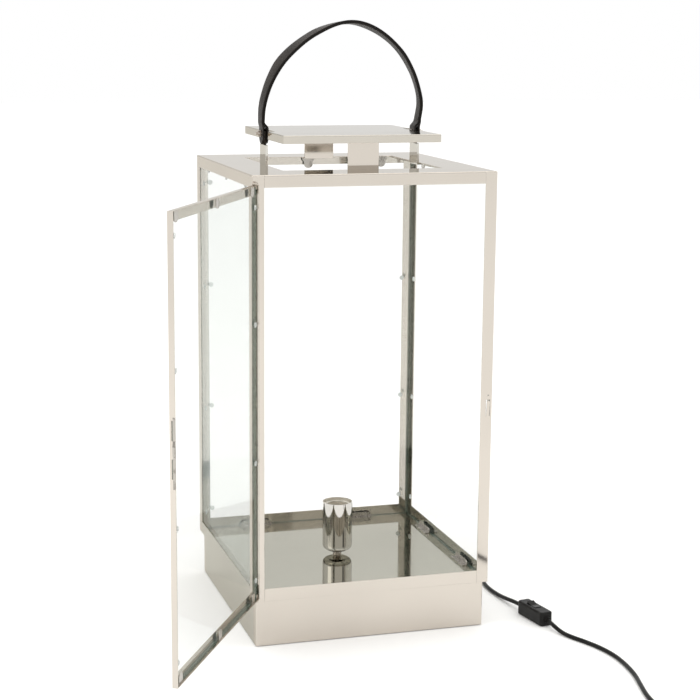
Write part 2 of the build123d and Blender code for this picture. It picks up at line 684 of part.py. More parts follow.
def tube(route, name):
    """A cord's stretch: straight runs joined by the largest tangent arcs they allow."""
    points = [Vector(*p) for p in route]
    radii = []
    for before, at, after in zip(points, points[1:], points[2:]):
        turn = (at - before).get_angle(after - at)
        run = min((at - before).length, (after - at).length)
        radii.append(0.45 * run / tan(radians(turn) / 2))
    path = FilletPolyline(*points, radius=radii)
    start = Plane(origin=points[0], z_dir=(points[1] - points[0]).normalized())
    solid = sweep(start * Circle(CORD_R), path=path)
    print(name, "radii", [round(r) for r in radii], "length", round(path.length, 1),
          "volume", round(solid.volume), "expected", round(path.length * pi * CORD_R ** 2))
    return solid


def at_switch(shape):
    """Place a switch piece drawn along +X from its inlet end, on the cord's axis."""
    return Pos(SWITCH_AT[0], SWITCH_AT[1], 0) * Rot(0, 0, SWITCH_TURN) * shape


SWITCH_BODY = (3.0, 61.7)
SWITCH_HALF_W = 9.0
SWITCH_TOP = 19.0


def switch_body():
    """The switch's outside: a rounded case between two tapered necks."""
    x0, x1 = SWITCH_BODY
    case = block(x0, x1, -SWITCH_HALF_W, SWITCH_HALF_W, 0.2, SWITCH_TOP)
    case = fillet(case.edges().filter_by(Axis.Z), 4.5)
    case = fillet(case.edges().group_by(Axis.Z)[-1], 2.5)
    case = fillet(case.edges().group_by(Axis.Z)[0], 2.5)
    neck = x0 + 1
    neck_in = Pos(neck / 2, 0, SWITCH_Z) * Rot(0, 90, 0) * Cone(3.9, 4.6, neck)
    neck_out = Pos(SWITCH_LEN - neck / 2, 0, SWITCH_Z) * Rot(0, 90, 0) * Cone(4.6, 3.9, neck)
    return case + neck_in + neck_out


ROCKER_X = 30.0
ROCKER_Z = 14.6
ROCKER_HALF = 9.5
ROCKER_HALF_W = 4.8
ROCKER_TILT = 7.5         # degrees each way from level
STUB_R = 1.3
SWITCH_WALL = 1.6


def switch_hollow():
    """Space inside the case for the contacts, and the cord's way in at each end."""
    x0, x1 = SWITCH_BODY
    room = block(x0 + 3, x1 - 3, -SWITCH_HALF_W + SWITCH_WALL, SWITCH_HALF_W - SWITCH_WALL, 2.2, 16.8)
    window = block(ROCKER_X - ROCKER_HALF - 1.0, ROCKER_X + ROCKER_HALF + 1.0,
                   -ROCKER_HALF_W - 0.4, ROCKER_HALF_W + 0.4, 10, 30)
    return room + window


def switch_half(low, high):
    """Lower or upper shell of the switch."""
    cut = block(-5, SWITCH_LEN + 5, -20, 20, low, high)
    ways = rod_x(CORD_R, 2, 7, 0, SWITCH_Z) + rod_x(CORD_R, SWITCH_LEN - 7, SWITCH_LEN - 2, 0, SWITCH_Z)
    return (switch_body() & cut) - switch_hollow() - ways


def switch_cover():
    """Upper shell, with two ears inside that carry the rocker's stub axles."""
    ear = block(ROCKER_X - 2.6, ROCKER_X + 2.6, ROCKER_HALF_W + 0.4, ROCKER_HALF_W + 2.2, ROCKER_Z - 2.6, 17.0)
    cover = switch_half(SWITCH_Z, 30) + ear + mirror_y(ear)
    axle_hole = Pos(ROCKER_X, 0, ROCKER_Z) * Rot(90, 0, 0) * Cylinder(STUB_R + RUN_GAP, 30)
    inside = block(0, SWITCH_LEN, -ROCKER_HALF_W - 2.2, ROCKER_HALF_W + 2.2, 0, 17.0)
    return cover - (axle_hole & inside)


def rocker():
    """Rocker with a shallow valley on top, tilted to one side, on two stub axles."""
    with BuildPart() as key:
        with BuildSketch(Plane.XZ):
            with BuildLine():
                Polyline((-ROCKER_HALF, 17.0), (-ROCKER_HALF + 1.2, 11.6), (ROCKER_HALF - 1.2, 11.6),
                         (ROCKER_HALF, 17.0), (ROCKER_HALF, 21.0), (0, 19.2), (-ROCKER_HALF, 21.0), close=True)
            make_face()
        extrude(amount=2 * ROCKER_HALF_W)
    level = Pos(0, ROCKER_HALF_W, -ROCKER_Z) * key.part
    level += Rot(90, 0, 0) * Cylinder(STUB_R, 2 * (ROCKER_HALF_W + 2.0))
    return Pos(ROCKER_X, 0, ROCKER_Z) * Rot(0, ROCKER_TILT, 0) * level


def coil():
    """Outer shape of the put-away turns."""
    turns = Cylinder(COIL_MID_R + coil_half_w, coil_h) - Cylinder(COIL_MID_R - coil_half_w, coil_h + 2)
    return fillet((Pos(*COIL_AT, coil_h / 2 + 0.05) * turns).edges(), 1.8)


def coil_tie():
    """Band round the turns on the coil's left side."""
    x = COIL_AT[0] - COIL_MID_R
    bulge = 0.45          # the turns curve towards the coil's middle across the band's width
    outer = block(x - coil_half_w - 0.9, x + coil_half_w + bulge + 0.9, -4, 4, 0.05, coil_h + 1.0)
    inner = block(x - coil_half_w, x + coil_half_w + bulge, -5, 5, 0, coil_h + 0.05)
    return Pos(0, COIL_AT[1], 0) * (outer - inner)


def at_plug(shape):
    """Place a plug piece drawn along +X from the cord's end, on the floor."""
    return Pos(PLUG_AT[0], PLUG_AT[1], PLUG_Z) * Rot(0, 0, PLUG_TURN) * shape


PLUG_LEN = 48.0
PIN_SPAN = 18.6


def plug_body():
    """Flat two-pin plug: a tapered neck and a body that widens towards the pins."""
    half = 6.9
    with BuildPart() as body:
        with BuildSketch(Plane.XY.offset(-half)):
            with BuildLine():
                Polyline((12, -5.2), (22, -11.5), (32, -15.5), (PLUG_LEN, -16.5), (PLUG_LEN, 16.5), (32, 15.5),
                         (22, 11.5), (12, 5.2), close=True)
            make_face()
        extrude(amount=2 * half)
    shape = fillet(body.part.edges().filter_by(Axis.Z), 2.0)
    shape = fillet(shape.edges().group_by(Axis.Z)[-1], 1.8)
    shape = fillet(shape.edges().group_by(Axis.Z)[0], 1.8)
    return shape + Pos(6.5, 0, 0) * Rot(0, 90, 0) * Cone(3.6, 5.2, 13)


def plug_pin(y):
    pin = rod_x(2.0, PLUG_LEN, PLUG_LEN + 19, y, 0)
    return fillet(pin.edges().sort_by(Axis.X)[-1:], 1.2)


save("inner_lead", tube(INNER_ROUTE, "inner lead"))
save("cord_lead", tube(LEAD_ROUTE, "lead"))
save("cord_tail", tube(TAIL_ROUTE, "tail"))
save("cord_end", tube(END_ROUTE, "end"))
save("cord_coil", coil())
save("coil_tie", coil_tie())
save("switch_base", at_switch(switch_half(0, SWITCH_Z)))
save("switch_cover", at_switch(switch_cover()))
save("switch_rocker", at_switch(rocker()))
save("plug_body", at_plug(plug_body()))
save("plug_pins", group([at_plug(plug_pin(y)) for y in (-PIN_SPAN / 2, PIN_SPAN / 2)]))

print("coil turns hold", round(2 * COIL_TURNS * 2 * pi * COIL_MID_R), "mm")
print(len(made), "nodes")
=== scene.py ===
"""Looks of a tall polished-steel lantern with an electric lamp holder.

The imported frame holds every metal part, pane and fitting. This script gives them their finishes,
models the leather strap, the mains cord with its put-away turns and the small moulded details,
and sets up the studio.
"""
import logging
import math
from dataclasses import dataclass, field
from enum import Enum
from typing import Any, Iterable, Sequence, Union

import bmesh
import bpy
from mathutils import Euler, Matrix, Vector


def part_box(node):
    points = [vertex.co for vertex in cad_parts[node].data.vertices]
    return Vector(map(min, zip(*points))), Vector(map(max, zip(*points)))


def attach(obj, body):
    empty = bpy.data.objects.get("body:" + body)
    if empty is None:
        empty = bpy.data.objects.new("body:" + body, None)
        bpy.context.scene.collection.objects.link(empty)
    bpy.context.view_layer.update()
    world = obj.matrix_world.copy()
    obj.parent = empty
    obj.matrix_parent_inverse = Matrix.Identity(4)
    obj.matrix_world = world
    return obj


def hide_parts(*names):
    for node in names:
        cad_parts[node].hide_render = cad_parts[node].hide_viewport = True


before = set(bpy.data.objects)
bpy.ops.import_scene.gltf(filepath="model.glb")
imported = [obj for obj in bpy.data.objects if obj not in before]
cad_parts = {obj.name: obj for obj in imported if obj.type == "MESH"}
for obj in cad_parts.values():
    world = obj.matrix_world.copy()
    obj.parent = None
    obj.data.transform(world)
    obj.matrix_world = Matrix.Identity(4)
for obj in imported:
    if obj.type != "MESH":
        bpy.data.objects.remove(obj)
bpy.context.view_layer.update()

log = logging.getLogger("lantern")
MM = 0.001
WELD = 1e-7  # points nearer to each other than this, in metres, become one

Colour = tuple[float, float, float]
Point = tuple[float, float, float]


class Body(Enum):
    """The bodies that pieces ride on."""

    LANTERN = "lantern"
    DOOR = "door"
    HANDLE = "handle"
    ROCKER = "rocker"


# ---- shader building ----
class Signal:
    """A number in a shader. Operators on it add Math nodes."""

    def __init__(self, nodes: "NodeBoard", socket: bpy.types.NodeSocket) -> None:
        """Wrap a socket.

        Args:
            nodes: the tree that the socket belongs to.
            socket: the output that carries the number.
        """
        self.nodes = nodes
        self.socket = socket

    def _math(self, operation: str, first: Any, second: Any = None) -> "Signal":
        """Add one Math node.

        Args:
            operation: what the node does.
            first: a number or Signal.
            second: the same, for an operation on two values.

        Returns:
            Its result.
        """
        values = {0: first} if second is None else {0: first, 1: second}
        node = self.nodes.node("ShaderNodeMath", {"operation": operation}, values)
        return Signal(self.nodes, node.outputs[0])

    def __add__(self, other: Any) -> "Signal":
        """self + other."""
        return self._math("ADD", self, other)

    __radd__ = __add__

    def __sub__(self, other: Any) -> "Signal":
        """self - other."""
        return self._math("SUBTRACT", self, other)

    def __rsub__(self, other: Any) -> "Signal":
        """other - self."""
        return self._math("SUBTRACT", other, self)

    def __mul__(self, other: Any) -> "Signal":
        """self * other."""
        return self._math("MULTIPLY", self, other)

    __rmul__ = __mul__

    def __pow__(self, other: Any) -> "Signal":
        """self ** other."""
        return self._math("POWER", self, other)

    def __abs__(self) -> "Signal":
        """Size without sign."""
        return self._math("ABSOLUTE", self)

    def above(self, level: float) -> "Signal":
        """1 where the number is over a level, else 0."""
        return self._math("GREATER_THAN", self, level)

    def between(self, low: float, high: float, to_low: float = 0.0, to_high: float = 1.0) -> "Signal":
        """Stretch a range to another, with the ends held.

        Args:
            low: input that gives to_low.
            high: input that gives to_high.
            to_low: result at and below low.
            to_high: result at and above high.

        Returns:
            The stretched number.
        """
        values = {"Value": self, "From Min": low, "From Max": high, "To Min": to_low, "To Max": to_high}
        node = self.nodes.node("ShaderNodeMapRange", {"clamp": True}, values)
        return Signal(self.nodes, node.outputs[0])


class NodeBoard:
    """A shader node tree whose nodes are added by type."""

    def __init__(self, tree: bpy.types.NodeTree) -> None:
        """Take a tree.

        Args:
            tree: the tree that nodes are added to.
        """
        self.tree = tree

    def node(self, kind: str, settings: dict[str, Any], values: dict[Any, Any]) -> bpy.types.Node:
        """Add a node.

        Args:
            kind: the node's type.
            settings: properties such as an operation, set before the sockets.
            values: a value, Signal or socket for each input, by name or index.

        Returns:
            The node.
        """
        made = self.tree.nodes.new(kind)
        for key, value in settings.items():
            setattr(made, key, value)
        for key, value in values.items():
            self.feed(made.inputs[key], value)
        return made

    def feed(self, socket: bpy.types.NodeSocket, value: Any) -> None:
        """Link a Signal or socket to an input, or set its value.

        Args:
            socket: the input.
            value: a Signal or socket to link, or a colour or plain value to set.
        """
        if isinstance(value, Signal):
            self.tree.links.new(value.socket, socket)
        elif isinstance(value, bpy.types.NodeSocket):
            self.tree.links.new(value, socket)
        elif socket.type == "RGBA":
            socket.default_value = (*value, 1.0)
        else:
            socket.default_value = value

    def blend(self, factor: Any, low: Any, high: Any) -> bpy.types.NodeSocket:
        """Mix two colours.

        Args:
            factor: 0 gives low and 1 gives high.
            low: a colour or colour socket.
            high: a colour or colour socket.

        Returns:
            The mixed colour.
        """
        node = self.node("ShaderNodeMix", {"data_type": "RGBA"}, {0: factor})
        self.feed(node.inputs[6], low)
        self.feed(node.inputs[7], high)
        return node.outputs[2]


class Shader(NodeBoard):
    """A Principled material."""

    def __init__(self, name: str) -> None:
        """Make the material.

        Args:
            name: the material's name.
        """
        self.material = bpy.data.materials.new(name)
        self.material.use_nodes = True
        super().__init__(self.material.node_tree)
        self.principled = self.tree.nodes["Principled BSDF"]

    def surface(self, **values: Any) -> None:
        """Set sockets of the Principled node, with underscores for spaces in their names."""
        for key, value in values.items():
            self.feed(self.principled.inputs[key.replace("_", " ")], value)

    def place(self, stretch: Point = (1.0, 1.0, 1.0), turn: float = 0.0) -> bpy.types.NodeSocket:
        """Object coordinates, stretched and turned about Z.

        Args:
            stretch: how many times finer the pattern is along each axis.
            turn: turn about Z in radians.

        Returns:
            The vector output.
        """
        coords = self.node("ShaderNodeTexCoord", {}, {})
        values = {"Vector": coords.outputs["Object"], "Scale": stretch, "Rotation": (0.0, 0.0, turn)}
        return self.node("ShaderNodeMapping", {}, values).outputs[0]

    def noise(self, scale: float, detail: float = 3.0, where: Any = None, rough: float = 0.5) -> Signal:
        """Soft noise about 0.5.

        Args:
            scale: how many blobs there are in a metre.
            detail: octaves.
            where: the coordinates, or None for plain object coordinates.
            rough: weight of the fine octaves.

        Returns:
            The noise.
        """
        vector = self.place() if where is None else where
        values = {"Vector": vector, "Scale": scale, "Detail": detail, "Roughness": rough}
        return Signal(self, self.node("ShaderNodeTexNoise", {}, values).outputs[0])

    def cells(self, scale: float, where: Any = None) -> Signal:
        """Distance to the borders of random cells, as in leather's grain.

        Args:
            scale: how many cells there are in a metre.
            where: the coordinates, or None for plain object coordinates.

        Returns:
            The distance.
        """
        vector = self.place() if where is None else where
        values = {"Vector": vector, "Scale": scale}
        node = self.node("ShaderNodeTexVoronoi", {"feature": "DISTANCE_TO_EDGE"}, values)
        return Signal(self, node.outputs[0])

    def bump(self, height: Signal, depth: float, strength: float = 1.0,
             under: Any = None) -> bpy.types.NodeSocket:
        """Turn a height into a bumped normal.

        Args:
            height: the height, 0 to 1.
            depth: how deep 1 is, in metres.
            strength: share of the effect.
            under: a normal to start from.

        Returns:
            The normal.
        """
        values = {"Height": height, "Distance": depth, "Strength": strength}
        node = self.node("ShaderNodeBump", {}, values)
        if under is not None:
            self.feed(node.inputs["Normal"], under)
        return node.outputs[0]

    def facing(self, axis: Point) -> Signal:
        """How squarely the surface faces an axis of the object.

        Args:
            axis: the axis, as a vector of length 1.

        Returns:
            1 where the surface faces along the axis, and 0 where it runs along it.
        """
        normal = self.node("ShaderNodeTexCoord", {}, {}).outputs["Normal"]
        dot = self.node("ShaderNodeVectorMath", {"operation": "DOT_PRODUCT"}, {0: normal, 1: axis})
        return abs(Signal(self, dot.outputs["Value"]))


# ---- finishes ----
@dataclass(frozen=True)
class PolishedSteel:
    """Mirror-polished sheet with a faint roll wave, wiping marks and a few dull smears.

    Attributes:
        name: the material's name.
        tint: colour of the metal.
        gloss: roughness where it is cleanest.
        smear: roughness added in the dull patches.
        wave: depth of the sheet's waviness in metres.
        grain: direction of the polishing lines.
        edge: radius of the buffed sheet edges in metres.
        graze: colour of reflections that graze the surface.
        painted_shade_above: height over which the metal is painted near black as shade, and made rough,
            where the bar runs between the strap's plies, in metres.
    """

    name: str
    tint: Colour = (0.64, 0.59, 0.53)
    gloss: float = 0.045
    smear: float = 0.07
    wave: float = 0.00006
    grain: Point = (6.0, 6.0, 0.6)
    edge: float = 0.0011
    graze: Colour = (0.74, 0.72, 0.68)
    painted_shade_above: float = 9.0

    def build(self) -> bpy.types.Material:
        """Make the material.

        Returns:
            The finished material.
        """
        shader = Shader(self.name)
        lines = shader.noise(420.0, 2.0, shader.place(self.grain))
        patches = shader.noise(9.0, 4.0)
        smears = patches.between(0.5, 0.75)
        dust = shader.noise(900.0, 1.0).between(0.62, 0.72)
        dark = tuple(c * 0.94 for c in self.tint)
        tint = shader.blend(shader.noise(5.0, 2.0).between(0.35, 0.65), dark, self.tint)
        buffed = shader.node("ShaderNodeBevel", {"samples": 4}, {"Radius": self.edge}).outputs[0]
        waves = shader.bump(shader.noise(4.5, 1.0), self.wave * 10, 1.0, buffed)
        fine = shader.bump(lines, 0.0000035, 0.6, waves)
        rough = self.gloss + smears * self.smear + lines.between(0.4, 0.8) * 0.02 + dust * 0.03
        # Over that height the colour is painted shade, near black, where the bar sits between the strap's
        # plies; the roughness also goes up.
        if self.painted_shade_above < 1.0:
            height = shader.node("ShaderNodeSeparateXYZ", {}, {0: shader.place()}).outputs[2]
            painted_shade = Signal(shader, height).above(self.painted_shade_above)
            tint = shader.blend(painted_shade, tint, (0.035, 0.030, 0.026))
            rough = rough + painted_shade * 0.4
        shader.surface(Base_Color=tint, Metallic=1.0, Roughness=rough, Normal=fine,
                       Specular_Tint=self.graze)
        return shader.material


@dataclass(frozen=True)
class SpunCup:
    """A spun cup on the upright axis: polished outside, satin inside.

    Attributes:
        name: the material's name.
        tint: colour of the metal.
    """

    name: str
    tint: Colour = (0.64, 0.62, 0.585)

    def build(self) -> bpy.types.Material:
        """Make the material.

        Returns:
            The finished material.
        """
        shader = Shader(self.name)
        coords = shader.node("ShaderNodeTexCoord", {}, {})
        level = shader.node("ShaderNodeVectorMath", {"operation": "MULTIPLY"},
                            {0: coords.outputs["Object"], 1: (1.0, 1.0, 0.0)})
        dot = shader.node("ShaderNodeVectorMath", {"operation": "DOT_PRODUCT"},
                          {0: coords.outputs["Normal"], 1: level.outputs[0]})
        inside = Signal(shader, dot.outputs["Value"]).between(-0.012, -0.004, 1.0, 0.0)
        spun = shader.noise(500.0, 2.0, shader.place((0.3, 0.3, 8.0)))
        smears = shader.noise(40.0, 3.0).between(0.5, 0.8)
        tint = shader.blend(inside, self.tint, (0.72, 0.69, 0.62))
        rough = 0.03 + smears * 0.05 + inside * 0.42
        shader.surface(Base_Color=tint, Metallic=1.0, Roughness=rough,
                       Normal=shader.bump(spun, 0.000004, 0.5))
        return shader.material


@dataclass(frozen=True)
class PaneGlass:
    """Clear float glass: see-through faces that mirror more at a slant, and green edges.

    Attributes:
        name: the material's name.
        across: the pane's own normal, which tells its faces from its edges.
        veil: how much of the light a face holds back, seen squarely.
        mirror: how much more it holds back and reflects at a slant.
        edge_cover: how much of the light the cut edges hold back.
    """

    name: str
    across: Point
    veil: float = 0.05
    mirror: float = 0.4
    edge_cover: float = 0.65

    def build(self) -> bpy.types.Material:
        """Make the material.

        Returns:
            The finished material.
        """
        shader = Shader(self.name)
        face = shader.facing(self.across).between(0.4, 0.6)
        tint = shader.blend(face, (0.15, 0.22, 0.185), (0.52, 0.58, 0.54))
        slant = Signal(shader, shader.node("ShaderNodeLayerWeight", {}, {"Blend": 0.5}).outputs["Facing"])
        marks = shader.noise(14.0, 5.0).between(0.56, 0.8)
        clear = slant ** 5 * self.mirror + self.veil + marks * 0.01
        rough = 0.02 + marks * 0.06 + (1 - face) * 0.2
        cover = clear * face + (1 - face) * self.edge_cover
        shader.surface(Base_Color=tint, Metallic=face, Roughness=rough, Alpha=cover)
        return shader.material


@dataclass(frozen=True)
class Moulded:
    """Moulded plastic, rubber or foam: a base colour with fine grain and handling wear.

    Attributes:
        name: the material's name.
        tint: base colour.
        rough: mean roughness.
        grain_scale: grains in a metre.
        grain_depth: depth of the grain in metres.
        mottle: how far the colour wanders, as a share.
        shine: strength of the surface reflection.
    """

    name: str
    tint: Colour
    rough: float = 0.42
    grain_scale: float = 2200.0
    grain_depth: float = 0.00004
    mottle: float = 0.25
    shine: float = 0.14

    def build(self) -> bpy.types.Material:
        """Make the material.

        Returns:
            The finished material.
        """
        shader = Shader(self.name)
        worn = tuple(min(1.0, c * (1 + self.mottle) + 0.004) for c in self.tint)
        tint = shader.blend(shader.noise(60.0, 4.0).between(0.35, 0.7), self.tint, worn)
        grain = shader.noise(self.grain_scale, 2.0)
        rough = shader.noise(90.0, 3.0).between(0.3, 0.7, self.rough - 0.07, self.rough + 0.07)
        shader.surface(Base_Color=tint, Roughness=rough, Normal=shader.bump(grain, self.grain_depth, 0.7),
                       Specular_IOR_Level=self.shine)
        return shader.material


@dataclass(frozen=True)
class Leather:
    """Oiled strap leather with a pebbled grain and creases.

    Attributes:
        name: the material's name.
        hide: colour of the grain side.
        worn: colour on the raised, rubbed grain.
        edge: colour of the painted cut edge.
    """

    name: str
    hide: Colour = (0.011, 0.0078, 0.0055)
    worn: Colour = (0.034, 0.025, 0.018)
    edge: Colour = (0.006, 0.0045, 0.0035)

    def build(self) -> bpy.types.Material:
        """Make the material.

        Returns:
            The finished material.
        """
        shader = Shader(self.name)
        pebble = shader.cells(1500.0).between(0.0, 0.16)
        folds = shader.noise(120.0, 5.0, shader.place((1.0, 0.35, 1.0)), 0.6)
        rubbed = shader.noise(24.0, 4.0).between(0.35, 0.7)
        edge_on = shader.facing((0.0, 1.0, 0.0)).between(0.55, 0.85)
        grain = shader.blend(rubbed * pebble.between(0.2, 1.0, 0.55, 1.0), self.hide, self.worn)
        tint = shader.blend(edge_on, grain, self.edge)
        creased = shader.bump(folds, 0.0006, 0.35)
        rough = rubbed.between(0.0, 1.0, 0.52, 0.38) - edge_on * 0.08
        normal = shader.bump(pebble, 0.00009, 0.8, creased)
        shader.surface(Base_Color=tint, Roughness=rough, Normal=normal, Specular_IOR_Level=0.2)
        return shader.material


@dataclass(frozen=True)
class PlainMetal:
    """Turned, punched or plated metal: brass contacts, plated screws, spring steel.

    Attributes:
        name: the material's name.
        tint: colour of the metal.
        rough: mean roughness.
        dull: colour in the tarnished spots.
    """

    name: str
    tint: Colour
    rough: float
    dull: Colour

    def build(self) -> bpy.types.Material:
        """Make the material.

        Returns:
            The finished material.
        """
        shader = Shader(self.name)
        spots = shader.noise(160.0, 5.0).between(0.5, 0.72)
        turned = shader.noise(500.0, 2.0, shader.place((0.3, 0.3, 6.0)))
        rough = self.rough + spots * 0.16 + turned * 0.04
        tint = shader.blend(spots, self.tint, self.dull)
        shader.surface(Base_Color=tint, Metallic=1.0, Roughness=rough,
                       Normal=shader.bump(turned, 0.00002, 0.5))
        return shader.material


@dataclass(frozen=True)
class Translucent:
    """Clear silicone dots that hold the panes."""

    name: str

    def build(self) -> bpy.types.Material:
        """Make the material.

        Returns:
            The finished material.
        """
        shader = Shader(self.name)
        cloud = shader.noise(300.0, 3.0)
        tint = shader.blend(cloud, (0.74, 0.78, 0.76), (0.86, 0.88, 0.87))
        rough = cloud.between(0.2, 0.8, 0.25, 0.45)
        shader.surface(Base_Color=tint, Roughness=rough, Transmission_Weight=0.6, IOR=1.41)
        return shader.material


@dataclass(frozen=True)
class Glazed:
    """Cream ceramic under a glaze with fine specks."""

    name: str

    def build(self) -> bpy.types.Material:
        """Make the material.

        Returns:
            The finished material.
        """
        shader = Shader(self.name)
        specks = shader.noise(1400.0, 2.0).between(0.66, 0.72)
        tint = shader.blend(specks, (0.60, 0.565, 0.49), (0.32, 0.28, 0.23))
        pools = shader.noise(70.0, 2.0)
        rough = pools.between(0.2, 0.8, 0.12, 0.26)
        shader.surface(Base_Color=tint, Roughness=rough, Normal=shader.bump(pools, 0.0002, 0.4),
                       Coat_Weight=0.6)
        return shader.material


Finish = Union[PolishedSteel, SpunCup, PaneGlass, Moulded, Leather, PlainMetal, Translucent, Glazed]


class Finishes:
    """Every material, made once, and the means to put one on an object."""

    def __init__(self) -> None:
        """Start with none made."""
        self.made: dict[str, bpy.types.Material] = {}

    def get(self, finish: Finish) -> bpy.types.Material:
        """The material of a finish.

        Args:
            finish: the finish.

        Returns:
            Its material, made at the first call.
        """
        if finish.name not in self.made:
            self.made[finish.name] = finish.build()
        return self.made[finish.name]

    def dress(self, finish: Finish, nodes: Iterable[str]) -> None:
        """Give CAD nodes a finish.

        Args:
            finish: the finish.
            nodes: the nodes' names.
        """
        material = self.get(finish)
        for name in nodes:
            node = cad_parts[name]
            node.data.materials.clear()
            node.data.materials.append(material)
            log.info("%s wears %s", name, finish.name)


# ---- mesh building ----
def mesh_piece(name: str, verts: Sequence[Sequence[float]],
               faces: Sequence[Sequence[int]]) -> bpy.types.Object:
    """Make a smooth mesh object at the origin, with its faces pointing outwards.

    Args:
        name: the piece's name.
        verts: places in metres.
        faces: corners of each face.

    Returns:
        The object.
    """
    mesh = bpy.data.meshes.new(name)
    mesh.from_pydata([tuple(v) for v in verts], [], [tuple(f) for f in faces])
    edit = bmesh.new()
    edit.from_mesh(mesh)
    bmesh.ops.remove_doubles(edit, verts=edit.verts, dist=WELD)
    bmesh.ops.recalc_face_normals(edit, faces=edit.faces)
    edit.to_mesh(mesh)
    edit.free()
    mesh.shade_smooth()
    piece = bpy.data.objects.new(name, mesh)
    bpy.context.scene.collection.objects.link(piece)
    return piece


def skin(loops: Sequence[Sequence[Vector]], name: str) -> bpy.types.Object:
    """Make a closed tube from rings of points, capped at both ends.

    Args:
        loops: rings of equal length.
        name: the piece's name.

    Returns:
        The object.
    """
    size = len(loops[0])
    verts = [p for loop in loops for p in loop]
    faces = []
    for row in range(len(loops) - 1):
        for i in range(size):
            j = (i + 1) % size
            faces.append((row * size + i, row * size + j, (row + 1) * size + j, (row + 1) * size + i))
    faces.append(tuple(range(size)))
    faces.append(tuple((len(loops) - 1) * size + i for i in range(size)))
    return mesh_piece(name, verts, faces)


def rounded_section(half_w: float, half_t: float, corner: float,
                    steps: int = 4) -> list[tuple[float, float]]:
    """Outline of a rounded rectangle about (0, 0).

    Args:
        half_w: half its width.
        half_t: half its thickness.
        corner: radius of its corners.
        steps: segments in each corner.

    Returns:
        Pairs of distance across and distance through.
    """
    corner = min(corner, half_w * 0.98, half_t * 0.98)
    points = []
    for quarter in range(4):
        sign_w = 1 if quarter in (0, 3) else -1
        sign_t = 1 if quarter in (0, 1) else -1
        for i in range(steps + 1):
            a = math.pi / 2 * (quarter + i / steps)
            across = sign_w * (half_w - corner) + corner * math.cos(a)
            through = sign_t * (half_t - corner) + corner * math.sin(a)
            points.append((across, through))
    return points


class NodeShape:
    """A Geometry Nodes tree with named inputs, baked to a plain mesh."""

    def __init__(self, name: str) -> None:
        """Start an empty tree.

        Args:
            name: the tree's name.
        """
        self.tree = bpy.data.node_groups.new(name, "GeometryNodeTree")
        self.tree.interface.new_socket("Geometry", in_out="INPUT", socket_type="NodeSocketGeometry")
        self.tree.interface.new_socket("Geometry", in_out="OUTPUT", socket_type="NodeSocketGeometry")
        self.source = self.tree.nodes.new("NodeGroupInput")
        self.sink = self.tree.nodes.new("NodeGroupOutput")
        self.values: dict[str, Any] = {}

    def size(self, name: str, value: float, kind: str = "NodeSocketFloat") -> bpy.types.NodeSocket:
        """Add a named input and return its socket.

        Args:
            name: the input's name.
            value: what this piece gives it.
            kind: the socket's type.

        Returns:
            The group input's output socket.
        """
        socket = self.tree.interface.new_socket(name, in_out="INPUT", socket_type=kind)
        self.values[socket.identifier] = value
        return self.source.outputs[name]

    def node(self, kind: str, settings: dict[str, Any], values: dict[Any, Any]) -> bpy.types.Node:
        """Add a node.

        Args:
            kind: the node's type.
            settings: properties such as an operation, set before the sockets.
            values: a value or socket for each input, by name or index.

        Returns:
            The node.
        """
        made = self.tree.nodes.new(kind)
        for key, value in settings.items():
            setattr(made, key, value)
        for key, value in values.items():
            if isinstance(value, bpy.types.NodeSocket):
                self.tree.links.new(value, made.inputs[key])
            else:
                made.inputs[key].default_value = value
        return made

    def maths(self, operation: str, first: Any, second: Any = 0.0) -> bpy.types.NodeSocket:
        """One Math node's result."""
        return self.node("ShaderNodeMath", {"operation": operation}, {0: first, 1: second}).outputs[0]

    def bake(self, geometry: bpy.types.NodeSocket, material: bpy.types.Material,
             name: str) -> bpy.types.Object:
        """End the tree in Realize Instances and Set Material, and bake it.

        Args:
            geometry: the finished geometry.
            material: the finish.
            name: the piece's name.

        Returns:
            A plain mesh object at the origin.
        """
        real = self.node("GeometryNodeRealizeInstances", {}, {0: geometry}).outputs[0]
        dressed = self.node("GeometryNodeSetMaterial", {}, {"Geometry": real, "Material": material})
        self.tree.links.new(dressed.outputs[0], self.sink.inputs[0])
        host = bpy.data.objects.new(name, bpy.data.meshes.new(name + "_seed"))
        bpy.context.scene.collection.objects.link(host)
        modifier = host.modifiers.new("shape", "NODES")
        modifier.node_group = self.tree
        for identifier, value in self.values.items():
            modifier[identifier] = value
        seen = host.evaluated_get(bpy.context.evaluated_depsgraph_get())
        mesh = bpy.data.meshes.new_from_object(seen)
        host.modifiers.remove(modifier)
        host.data = mesh
        mesh.name = name
        mesh.shade_smooth()
        return host


def finish_piece(piece: bpy.types.Object, body: Body, slot: str, *replaced: str) -> bpy.types.Object:
    """Hang a piece on the empty of the body it rides on, and hide the CAD nodes that it stands for.

    Args:
        piece: the object, in place.
        body: what it rides on.
        slot: not used.
        replaced: CAD nodes that it stands for.

    Returns:
        The piece.
    """
    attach(piece, body.value)
    if replaced:
        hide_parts(*replaced)
    log.info("%s rides on %s", piece.name, body.value)
    return piece


# ---- the lantern's own parts ----
STEEL = PolishedSteel("polished steel")
# A darker copy of the polished steel for the side sheets: the lower tint is painted shade.
SHADED_SIDE_STEEL = PolishedSteel("polished steel, side sheets, painted shade", tint=(0.56, 0.545, 0.495))
# A copy of the polished steel for the cap plate, polished the other way; its darker tint and dimmer
# grazing reflections are painted shade.
SHADED_TOP_STEEL = PolishedSteel("polished steel, top sheets, painted shade", tint=(0.60, 0.565, 0.505), grain=(0.6, 6.0, 6.0),
                          graze=(0.68, 0.665, 0.63))
